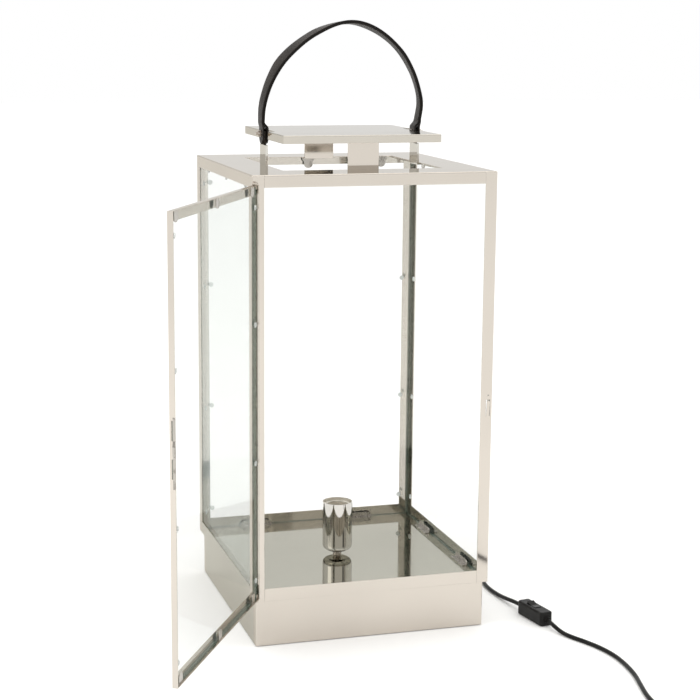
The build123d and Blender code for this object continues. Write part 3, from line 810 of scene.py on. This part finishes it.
# The handle bars are painted near black as shade above 611.4 mm, where the strap's plies cover them.
BAR_STEEL = PolishedSteel("polished steel, handle bars", tint=(0.66, 0.64, 0.595), painted_shade_above=0.6114)
TRAY_STEEL = PolishedSteel("mirror tray", tint=(0.47, 0.462, 0.415), gloss=0.03, smear=0.10, wave=0.00012,
                           graze=(0.90, 0.885, 0.83))
CUP_STEEL = SpunCup("spun cup")
CLIP_STEEL = PlainMetal("punched clip steel", (0.46, 0.435, 0.40), 0.20, (0.30, 0.28, 0.25))
PLATED = PlainMetal("plated fasteners", (0.52, 0.47, 0.42), 0.24, (0.30, 0.22, 0.16))
BRASS = PlainMetal("brass contacts", (0.76, 0.56, 0.27), 0.22, (0.46, 0.30, 0.14))
LEATHER = Leather("strap leather")
BLACK_PLASTIC = Moulded("black moulded plastic", (0.008, 0.0075, 0.007), 0.36)
ROCKER_PLASTIC = Moulded("rocker plastic", (0.007, 0.0065, 0.006), 0.24, 900.0, 0.00001, 0.15)
SHEATH = Moulded("cord sheath", (0.007, 0.0065, 0.006), 0.36, 700.0, 0.00003, 0.3)
FOAM = Moulded("closed-cell foam", (0.035, 0.035, 0.036), 0.85, 1100.0, 0.0004, 0.5)
BAND = Moulded("tie band", (0.030, 0.030, 0.031), 0.5, 1500.0, 0.00003, 0.2)
SILICONE = Translucent("clear silicone")
CERAMIC = Glazed("glazed ceramic")


@dataclass
class Housing:
    """Base, frame, panes, cap and the fittings that only need their finish.

    Attributes:
        finishes: the materials.
        door_turn: how far the door stands open, in degrees.
    """

    finishes: Finishes
    door_turn: float = 120.5

    def dress(self) -> None:
        """Put every finish on."""
        put = self.finishes.dress
        put(STEEL, ["base_front", "base_back", "bottom_rail_front", "bottom_rail_back", "post_front_right",
                    "post_front_left", "post_back_right", "post_back_left", "top_frame", "cap_leg_front",
                    "cap_leg_back", "door_stile_hinge", "door_stile_latch", "door_rail_top",
                    "door_rail_bottom", "hinge_lugs"])
        put(SHADED_SIDE_STEEL, ["base_left", "base_right", "bottom_rail_left", "bottom_rail_right", "base_floor"])
        put(BAR_STEEL, ["handle_bar_left", "handle_bar_right"])
        put(SHADED_TOP_STEEL, ["cap_plate"])
        put(TRAY_STEEL, ["mirror_tray"])
        put(CUP_STEEL, ["holder_shell"])
        put(CLIP_STEEL, ["glass_clips_top", "glass_clips_bottom", "door_clips", "latch_spring"])
        put(PLATED, ["base_screws", "handle_bolts", "handle_nuts", "hinge_pins", "holder_nipple",
                     "holder_nuts"])
        put(SILICONE, ["pane_pads", "door_pads"])
        put(FOAM, ["base_pad"])
        put(CERAMIC, ["holder_insert"])
        put(BRASS, ["holder_contact", "plug_pins"])
        put(BLACK_PLASTIC, ["cord_gland", "switch_base", "switch_cover", "plug_body"])
        put(ROCKER_PLASTIC, ["switch_rocker"])
        put(SHEATH, ["inner_lead"])
        put(PaneGlass("pane glass, sides", (1.0, 0.0, 0.0)), ["glass_left", "glass_right"])
        put(PaneGlass("pane glass, back", (0.0, 1.0, 0.0)), ["glass_back"])
        turn = math.radians(self.door_turn)
        put(PaneGlass("pane glass, door", (math.sin(turn), math.cos(turn), 0.0)), ["door_glass"])


@dataclass
class LampHolder:
    """The socket's rolled thread, made by rule.

    Attributes:
        finishes: the materials.
        pitch: height of one turn of thread.
        depth: how far the thread swings in and out.
        wall: thickness of the brass.
        around: faces round the sleeve.
        rows: rings of points up the sleeve.
        weld: distance within which the rolled-up sheet's two sides are joined, in metres.
    """

    finishes: Finishes
    pitch: float = 3.63 * MM
    depth: float = 0.42 * MM
    wall: float = 0.35 * MM
    around: int = 96
    rows: int = 98
    weld: float = 1e-6

    def build(self) -> None:
        """Make the threaded sleeve in place of the plain one."""
        low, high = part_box("holder_screw_shell")
        shape = NodeShape("rolled thread")
        radius = shape.size("Radius", (high.x - low.x) / 2 - self.depth - self.wall)
        height = shape.size("Height", high.z - low.z)
        foot = shape.size("Foot", low.z)
        swing = shape.size("Thread Depth", self.depth)
        pitch = shape.size("Pitch", self.pitch)
        grid = shape.node("GeometryNodeMeshGrid", {}, {
            "Size X": 1.0, "Size Y": 1.0, "Vertices X": self.around + 1, "Vertices Y": self.rows})
        place = shape.node("GeometryNodeInputPosition", {}, {}).outputs[0]
        parts = shape.node("ShaderNodeSeparateXYZ", {}, {0: place})
        angle = shape.maths("MULTIPLY", parts.outputs[0], math.tau)
        rise = shape.maths("MULTIPLY", shape.maths("ADD", parts.outputs[1], 0.5), height)
        climb = shape.maths("MULTIPLY", shape.maths("DIVIDE", rise, pitch), math.tau)
        phase = shape.maths("SUBTRACT", climb, angle)
        out = shape.maths("ADD", radius, shape.maths("MULTIPLY", shape.maths("SINE", phase), swing))
        x = shape.maths("MULTIPLY", shape.maths("COSINE", angle), out)
        y = shape.maths("MULTIPLY", shape.maths("SINE", angle), out)
        where = shape.node("ShaderNodeCombineXYZ", {}, {0: x, 1: y, 2: shape.maths("ADD", rise, foot)})
        rolled = shape.node("GeometryNodeSetPosition", {}, {
            "Geometry": grid.outputs[0], "Position": where.outputs[0]})
        joined = shape.node("GeometryNodeMergeByDistance", {}, {
            "Geometry": rolled.outputs[0], "Distance": self.weld})
        sleeve = shape.bake(joined.outputs[0], self.finishes.get(BRASS), "socket_thread")
        solid = sleeve.modifiers.new("wall", "SOLIDIFY")
        solid.thickness = self.wall
        solid.offset = 0.0
        finish_piece(sleeve, Body.LANTERN, "brass_contacts", "holder_screw_shell")


@dataclass
class Strap:
    """The leather handle: two plies that part round the bars and join over the cap.

    Sizes are in millimetres, as in the frame's own drawing.

    Attributes:
        finishes: the materials.
        ply: thickness of a ply.
        half_width: half the strap's width.
        foot: height of the plies' ends.
        part: height under which the plies run beside the bar.
        join: height over which they lie together.
        bar_out: distance of the bar's outer face from the middle.
        bar_in: distance of the bar's inner face from the middle.
        gap: between bar and ply.
        edge_round: radius of the plies' edges.
        smooth_steps: points to each stretch of the arch.
        wander: how far the cut edge strays, in a long and a short wave.
        arch: the joined strap's middle line from left to right, as (x, z).
        lean: how far the strap is turned about its length, as (share of the arch, degrees).
    """

    finishes: Finishes
    ply: float = 2.2
    half_width: float = 10.0
    foot: float = 612.5
    part: float = 632.0
    join: float = 640.0
    bar_out: float = 102.5
    bar_in: float = 99.5
    gap: float = 0.3
    edge_round: float = 0.75
    smooth_steps: int = 9
    wander: tuple[float, float] = (0.16, 0.10)
    arch: list[tuple[float, float]] = field(default_factory=lambda: [
        (-104.3, 640), (-103.4, 657), (-99.6, 674), (-92.0, 694), (-79.5, 715), (-61.0, 733.5),
        (-37.5, 750), (-12.0, 761), (12.0, 765.2), (35.0, 760.5), (58.5, 748), (80.0, 728.5),
        (95.5, 704), (104.5, 680), (107.3, 661), (104.3, 640),
    ])
    lean: list[tuple[float, float]] = field(default_factory=lambda: [
        (0.0, 0), (0.12, 5), (0.28, 15), (0.40, 8), (0.5, -3), (0.6, -6), (0.72, 1), (0.86, 7), (1.0, 2),
    ])

    def _curve(self) -> list[Vector]:
        """The arch's middle line, smooth, with upright ends.

        Returns:
            Points from left to right, as (x, z).
        """
        given = [Vector(p) for p in self.arch]
        ends = [given[0] - Vector((0.0, 8.0)), *given, given[-1] - Vector((0.0, 8.0))]
        line = []
        for a, b, c, d in zip(ends, ends[1:], ends[2:], ends[3:]):
            for i in range(self.smooth_steps):
                t = i / self.smooth_steps
                line.append(0.5 * (2 * b + (c - a) * t + (2 * a - 5 * b + 4 * c - d) * t ** 2
                                   + (3 * b - a - 3 * c + d) * t ** 3))
        return [*line, given[-1]]

    def _leg(self, side: int, middle: float, joined: float) -> list[Vector]:
        """A leg's middle line from its foot up to where the plies join.

        Args:
            side: -1 for the left leg, 1 for the right.
            middle: the ply's distance from the middle of the lantern beside the bar.
            joined: the same where the plies join.

        Returns:
            Points from the foot up.
        """
        rises = (0, 0.3, 1.0, 2.2, 4.0, 6.5, 9.2, 14, 19)
        straight = [Vector((side * middle, self.foot + h)) for h in rises]
        bend = []
        for i in range(self.smooth_steps):
            t = i / self.smooth_steps
            across = middle + (joined - middle) * t * t * (3 - 2 * t)
            bend.append(Vector((side * across, self.part + (self.join - self.part) * t)))
        return straight + bend

    def _twist(self, share: float) -> float:
        """Turn of the strap about its length.

        Args:
            share: how far along the arch, from 0 at the left to 1.

        Returns:
            The turn in radians.
        """
        if not 0.0 < share < 1.0:
            return 0.0
        for (a, low), (b, high) in zip(self.lean, self.lean[1:]):
            if share <= b:
                t = (share - a) / (b - a)
                return math.radians(low + (high - low) * t * t * (3 - 2 * t))
        return 0.0

    def _width(self, along: float) -> float:
        """Half width of a ply, whose feet are rounded.

        Args:
            along: distance from the foot.

        Returns:
            Half the width there.
        """
        if along >= self.half_width:
            return self.half_width
        return self.half_width * math.sqrt(max(0.004, 1 - (1 - along / self.half_width) ** 2))

    def _ply(self, name: str, shift: float, middle: float) -> bpy.types.Object:
        """One ply.

        Args:
            name: the piece's name.
            shift: from the strap's middle line to the ply's, outwards.
            middle: the ply's distance from the lantern's middle beside the bar.

        Returns:
            The piece.
        """
        arch = self._curve()
        moved = []
        for i, at in enumerate(arch):
            along = (arch[min(i + 1, len(arch) - 1)] - arch[max(i - 1, 0)]).normalized()
            if i in (0, len(arch) - 1):
                along = Vector((0.0, 1.0 if i == 0 else -1.0))
            moved.append(at + Vector((-along.y, along.x)) * shift)
        left = self._leg(-1, middle, -moved[0].x)
        right = self._leg(1, middle, moved[-1].x)
        line = [*left, *moved, *reversed(right)]
        total = sum((b - a).length for a, b in zip(line, line[1:]))
        first, last = len(left), len(left) + len(moved) - 1
        loops, run = [], 0.0
        for i, at in enumerate(line):
            run += (at - line[i - 1]).length if i else 0.0
            along = (line[min(i + 1, len(line) - 1)] - line[max(i - 1, 0)]).normalized()
            out = Vector((-along.y, along.x))
            worn = self.wander[0] * math.sin(run / 17.0) + self.wander[1] * math.sin(run / 5.3 + 1.0)
            half = self._width(min(run, total - run)) + worn
            turn = self._twist((i - first) / (last - first))
            face = Vector((out.x * math.cos(turn), -math.sin(turn), out.y * math.cos(turn)))
            side = Vector((out.x * math.sin(turn), math.cos(turn), out.y * math.sin(turn)))
            middle_at = Vector((at.x - out.x * shift, 0.0, at.y - out.y * shift)) + face * shift
            ring = rounded_section(half, self.ply / 2, self.edge_round)
            loops.append([(middle_at + side * w + face * t) * MM for w, t in ring])
        return skin(loops, name)

    def build(self) -> None:
        """Make both plies."""
        half = self.ply / 2
        outer = self._ply("strap_outer_leather", half, self.bar_out + self.gap + half)
        inner = self._ply("strap_inner_leather", -half, self.bar_in - self.gap - half)
        for piece, node in ((outer, "strap_outer_ply"), (inner, "strap_inner_ply")):
            piece.data.materials.append(self.finishes.get(LEATHER))
            finish_piece(piece, Body.HANDLE, "strap_leather", node)


@dataclass
class Mains:
    """The cord in one length, through the switch to its put-away turns and plug.

    Sizes are in millimetres, as in the frame's own drawing, but the length is in metres.

    Attributes:
        finishes: the materials.
        diameter: of the cord.
        floor_lie: height of the cord's middle where it lies on the floor.
        coil_at: middle of the put-away turns.
        coil_mid: radius of the middle turn.
        turns: turns in each of the two layers.
        last_turn: what the top layer has more than whole turns.
        rise: share of a turn in which the cord climbs to the top layer.
        layer_gap: room between the layers.
        points_a_turn: control points in each turn.
        length: the whole cord's; not used.
        plug_at: where the cord enters the plug.
        plug_turn: direction of the plug, degrees from +X.
        gland_end: where the cord leaves the strain relief; not used.
        lead: from the strain relief to the switch.
        inside: through the switch.
        tail: from the switch to the put-away turns.
        end: from the turns to the plug.
    """

    finishes: Finishes
    diameter: float = 5.4
    floor_lie: float = 2.75
    coil_at: tuple[float, float] = (212.0, -518.0)
    coil_mid: float = 31.0
    turns: int = 3
    last_turn: float = 0.3
    rise: float = 0.2
    layer_gap: float = 0.05
    points_a_turn: int = 16
    length: float = 1.9
    plug_at: Point = (152.0, -543.8, 7.1)
    plug_turn: float = 170.0
    gland_end: Point = (177.0, 84.0, 14.0)
    lead: list[Point] = field(default_factory=lambda: [
        (177.0, 84.0, 14.0), (195.5, 83.2, 13.0), (214.0, 73.0, 8.6), (226.0, 52.0, 4.4),
        (222.5, 27.0, 2.75), (211.5, 0.5, 2.75), (208.8, -30.0, 2.75), (211.3, -61.0, 3.4),
        (213.4, -83.0, 5.8), (216.6, -104.0, 8.2), (219.3, -121.8, 9.0),
    ])
    inside: list[Point] = field(default_factory=lambda: [(223.0, -143.0, 9.0), (226.7, -164.5, 9.0)])
    tail: list[Point] = field(default_factory=lambda: [
        (230.3, -185.6, 9.0), (232.4, -202.5, 6.2), (236.0, -218.5, 3.3), (242.5, -234.5, 2.75),
        (251.0, -251.5, 2.75), (261.0, -277.0, 2.75), (267.0, -306.0, 2.75), (267.0, -338.0, 2.75),
        (263.0, -372.0, 2.75), (254.5, -405.0, 2.75), (247.0, -436.0, 2.75), (245.5, -466.0, 2.75),
        (250.0, -492.0, 2.75), (249.5, -509.0, 2.75),
    ])
    end: list[Point] = field(default_factory=lambda: [(186.5, -552.9, 8.2), (169.5, -548.0, 7.6)])

    def _coil(self) -> list[Point]:
        """Turns that spiral in along the floor and out again on top of themselves.

        Returns:
            Control points from the outside in, then out again.
        """
        across = self.turns * self.diameter
        inset = 0.5 * (1 + math.cos(math.pi / self.points_a_turn))
        points = []
        for i in range(1, round((2 * self.turns + self.last_turn) * self.points_a_turn) + 1):
            turn = i / self.points_a_turn
            on_top = min(1.0, max(0.0, (turn - self.turns) / self.rise))
            radius = self.coil_mid + across / 2 - self.diameter * min(turn, self.turns)
            radius += self.diameter * max(0.0, turn - self.turns)
            angle = -math.tau * turn
            x = self.coil_at[0] + radius / inset * math.cos(angle)
            y = self.coil_at[1] + radius / inset * math.sin(angle)
            points.append((x, y, self.floor_lie + on_top * (self.diameter + self.layer_gap)))
        return points

    def _cord(self) -> bpy.types.Object:
        """The cord as one smooth curve.

        Returns:
            The piece.
        """
        outer = self.coil_mid + self.turns * self.diameter / 2
        first = (self.coil_at[0] + outer, self.coil_at[1], self.floor_lie)
        route = [*self.lead, *self.inside, *self.tail, first, *self._coil(), *self.end, self.plug_at]
        data = bpy.data.curves.new("mains_cord", "CURVE")
        data.dimensions = "3D"
        data.bevel_depth = self.diameter / 2 * MM
        data.bevel_resolution = 5
        data.use_fill_caps = True
        spline = data.splines.new("NURBS")
        spline.points.add(len(route) - 1)
        for point, at in zip(spline.points, route):
            point.co = (*(c * MM for c in at), 1.0)
        spline.order_u = 3
        spline.use_endpoint_u = True
        data.resolution_u = 6
        data.materials.append(self.finishes.get(SHEATH))
        piece = bpy.data.objects.new("mains_cord", data)
        bpy.context.scene.collection.objects.link(piece)
        return piece

    def _ribs(self, name: str, count: int, step: float, wide: float, narrow: float, at: Point,
              heading: float) -> bpy.types.Object:
        """Rings round a strain relief, smaller towards its tip.

        Args:
            name: the piece's name.
            count: number of rings.
            step: from one ring to the next.
            wide: radius of the first ring.
            narrow: radius of the last ring.
            at: middle of the first ring.
            heading: direction of the row, degrees from +X.

        Returns:
            The piece.
        """
        shape = NodeShape(name)
        number = shape.size("Count", count, "NodeSocketInt")
        first = shape.size("First Radius", wide * MM)
        last = shape.size("Last Radius", narrow * MM)
        pitch = shape.size("Step", step * MM)
        spots = shape.node("GeometryNodeMeshLine", {}, {"Count": number, "Offset": (1.0, 0.0, 0.0)})
        index = shape.node("GeometryNodeInputIndex", {}, {}).outputs[0]
        move = shape.node("ShaderNodeCombineXYZ", {}, {0: shape.maths("MULTIPLY", index, pitch)})
        row = shape.node("GeometryNodeSetPosition", {}, {
            "Geometry": spots.outputs[0], "Position": move.outputs[0]})
        share = shape.maths("DIVIDE", index, shape.maths("SUBTRACT", number, 1.0))
        slope = shape.maths("MULTIPLY", share, shape.maths("SUBTRACT", last, first))
        radius = shape.maths("ADD", first, slope)
        hoop = shape.node("GeometryNodeCurvePrimitiveCircle", {}, {"Resolution": 28, "Radius": 1.0})
        rib = shape.node("GeometryNodeCurvePrimitiveCircle", {}, {"Resolution": 8, "Radius": 0.13})
        ring = shape.node("GeometryNodeCurveToMesh", {}, {
            "Curve": hoop.outputs[0], "Profile Curve": rib.outputs[0]})
        scale = shape.node("ShaderNodeCombineXYZ", {}, {0: radius, 1: radius, 2: radius})
        upright = Euler((0.0, math.pi / 2, 0.0))
        rings = shape.node("GeometryNodeInstanceOnPoints", {}, {
            "Points": row.outputs[0], "Instance": ring.outputs[0], "Rotation": upright,
            "Scale": scale.outputs[0]})
        turn = Euler((0.0, 0.0, math.radians(heading)))
        placed = shape.node("GeometryNodeTransform", {}, {
            "Geometry": rings.outputs[0], "Translation": Vector(at) * MM, "Rotation": turn})
        return shape.bake(placed.outputs[0], self.finishes.get(BLACK_PLASTIC), name)

    def _band(self) -> bpy.types.Object:
        """A flat band wrapped round the turns on the coil's left.

        Returns:
            The piece.
        """
        reach, high = self.turns * self.diameter / 2 + 0.35, 2 * self.diameter + 0.55
        middle = self.coil_at[0] - self.coil_mid
        corner, thick, half, steps, lowest = 2.4, 0.8, 3.6, 6, 0.06
        path = []
        for sx, sz, start in ((1, 1, 0.0), (-1, 1, 0.5), (-1, -1, 1.0), (1, -1, 1.5)):
            for i in range(steps + 1):
                a = math.pi * (start + i / (2 * steps))
                x = middle + sx * (reach - corner) + corner * math.cos(a)
                z = high / 2 + sz * (high / 2 - corner + 0.15) + corner * math.sin(a)
                path.append((x, z, math.cos(a), math.sin(a)))
        verts, faces = [], []
        for x, z, nx, nz in path:
            for out, y in ((0.0, -half), (0.0, half), (thick, half), (thick, -half)):
                verts.append(Vector((x + nx * out, self.coil_at[1] + y, max(lowest, z + nz * out))) * MM)
        for i in range(len(path)):
            j = (i + 1) % len(path)
            for k in range(4):
                m = (k + 1) % 4
                faces.append((4 * i + k, 4 * i + m, 4 * j + m, 4 * j + k))
        band = mesh_piece("coil_band", verts, faces)
        bevel = band.modifiers.new("soft edges", "BEVEL")
        bevel.width = 0.2 * MM
        bevel.segments = 2
        bevel.limit_method = "ANGLE"
        band.data.materials.append(self.finishes.get(BAND))
        return band

    def build(self) -> None:
        """Make the cord and what is moulded on it."""
        cord = self._cord()
        finish_piece(cord, Body.LANTERN, "cord_sheath", "cord_lead", "cord_tail", "cord_coil", "cord_end")
        band = finish_piece(self._band(), Body.LANTERN, "tie_band", "coil_tie")
        gland = self._ribs("gland_ribs", 6, 3.2, 5.15, 4.25, (155.5, 84.0, 14.0), 0.0)
        finish_piece(gland, Body.LANTERN, "fitting_plastic")
        neck = self._ribs("plug_neck_ribs", 4, 2.6, 4.0, 5.0, self._along_plug(2.2), self.plug_turn)
        finish_piece(neck, Body.LANTERN, "fitting_plastic")

    def _along_plug(self, distance: float) -> Point:
        """A point on the plug's middle line.

        Args:
            distance: how far from where the cord enters.

        Returns:
            The point.
        """
        turn = math.radians(self.plug_turn)
        x, y, z = self.plug_at
        return (x + distance * math.cos(turn), y + distance * math.sin(turn), z)


# ---- studio ----
@dataclass
class Studio:
    """Pale floor, soft light from all round, and the camera.

    Attributes:
        azimuth: where the camera stands, degrees from -Y towards +X.
        elevation: how high it looks down from, in degrees.
        target: the point it looks at.
        distance: from the target.
        lens: focal length for a 36 mm sensor.
        roll: turn of the picture in radians.
        floor_half: half the floor's side.
    """

    azimuth: float = -16.754
    elevation: float = 10.872
    target: Point = (0.0157, 0.0, 0.340)
    distance: float = 2.248
    lens: float = 87.54
    roll: float = 0.008879
    floor_half: float = 14.0

    def camera(self) -> None:
        """Place the camera."""
        a, e = math.radians(self.azimuth), math.radians(self.elevation)
        back = Vector((math.sin(a) * math.cos(e), -math.cos(a) * math.cos(e), math.sin(e)))
        data = bpy.data.cameras.new("camera")
        data.lens, data.sensor_width = self.lens, 36.0
        camera = bpy.data.objects.new("camera", data)
        camera.location = Vector(self.target) + back * self.distance
        look = (-back).to_track_quat("-Z", "Y").to_matrix()
        right, up = look.col[0].copy(), look.col[1].copy()
        c, s = math.cos(self.roll), math.sin(self.roll)
        look.col[0], look.col[1] = right * c + up * s, up * c - right * s
        camera.rotation_mode = "QUATERNION"
        camera.rotation_quaternion = look.to_quaternion()
        bpy.context.scene.collection.objects.link(camera)
        bpy.context.scene.camera = camera

    def floor(self) -> None:
        """A large pale floor."""
        h = self.floor_half
        plane = mesh_piece("floor", [(-h, -h, 0), (h, -h, 0), (h, h, 0), (-h, h, 0)], [(0, 1, 2, 3)])
        shader = Shader("pale floor")
        tint = shader.blend(shader.noise(0.4, 1.0), (0.955, 0.953, 0.947), (0.96, 0.958, 0.952))
        shader.surface(Base_Color=tint, Roughness=0.95,
                       Specular_IOR_Level=0.1, Emission_Color=(1.0, 0.995, 0.985), Emission_Strength=0.07)
        plane.data.materials.append(shader.material)

    def world(self) -> None:
        """White all round, a little dimmer and warmer in front, with two dark studio flats there."""
        world = bpy.data.worlds.new("studio")
        world.use_nodes = True
        bpy.context.scene.world = world
        shader = NodeBoard(world.node_tree)
        coords = shader.node("ShaderNodeTexCoord", {}, {}).outputs["Generated"]
        parts = shader.node("ShaderNodeSeparateXYZ", {}, {0: coords})
        x, y, z = (Signal(shader, parts.outputs[i]) for i in range(3))
        front = (y * -1.0).between(-0.05, 0.75)
        high = z.between(0.15, 0.8)
        dome = shader.blend(z.between(0.2, 0.6), (1.0, 1.0, 1.0), (1.2, 1.2, 1.19))
        base = shader.blend(front * (1 - high), dome, (0.84, 0.82, 0.79))
        flat_left = (1 - abs(x + 0.62) * 9.0).between(0.0, 0.35)
        flat_right = (1 - abs(x - 0.50) * 11.0).between(0.0, 0.35)
        flats = (flat_left + flat_right).between(0.0, 1.0) * front.above(0.02) * (1 - z.between(0.35, 0.5))
        shaded = shader.blend(flats, base, (0.05, 0.05, 0.05))
        shader.feed(world.node_tree.nodes["Background"].inputs["Color"], shaded)

    def lamp(self, name: str, at: Point, size: float, power: float, colour: Colour) -> None:
        """A soft square lamp that looks at the lantern.

        Args:
            name: the lamp's name.
            at: its place.
            size: its side.
            power: its power in watts.
            colour: its colour.
        """
        data = bpy.data.lights.new(name, "AREA")
        data.size, data.energy, data.color = size, power, colour
        lamp = bpy.data.objects.new(name, data)
        lamp.location = at
        lamp.rotation_mode = "QUATERNION"
        lamp.rotation_quaternion = (Vector(self.target) - Vector(at)).to_track_quat("-Z", "Y")
        bpy.context.scene.collection.objects.link(lamp)

    def build(self) -> None:
        """Set everything up."""
        bpy.context.scene.view_settings.view_transform = "Standard"
        self.camera()
        self.floor()
        self.world()
        self.lamp("softbox above", (0.2, -0.4, 3.2), 2.6, 16.0, (1.0, 0.99, 0.97))
        self.lamp("softbox left", (-2.6, -0.6, 1.7), 1.6, 10.0, (1.0, 0.985, 0.96))


def main() -> None:
    """Build every part in order."""
    logging.basicConfig(level=logging.INFO, format="%(name)s: %(message)s")
    finishes = Finishes()
    Studio().build()
    Mains(finishes).build()
    Housing(finishes).dress()
    LampHolder(finishes).build()
    Strap(finishes).build()


if __name__ == "__main__":
    main()
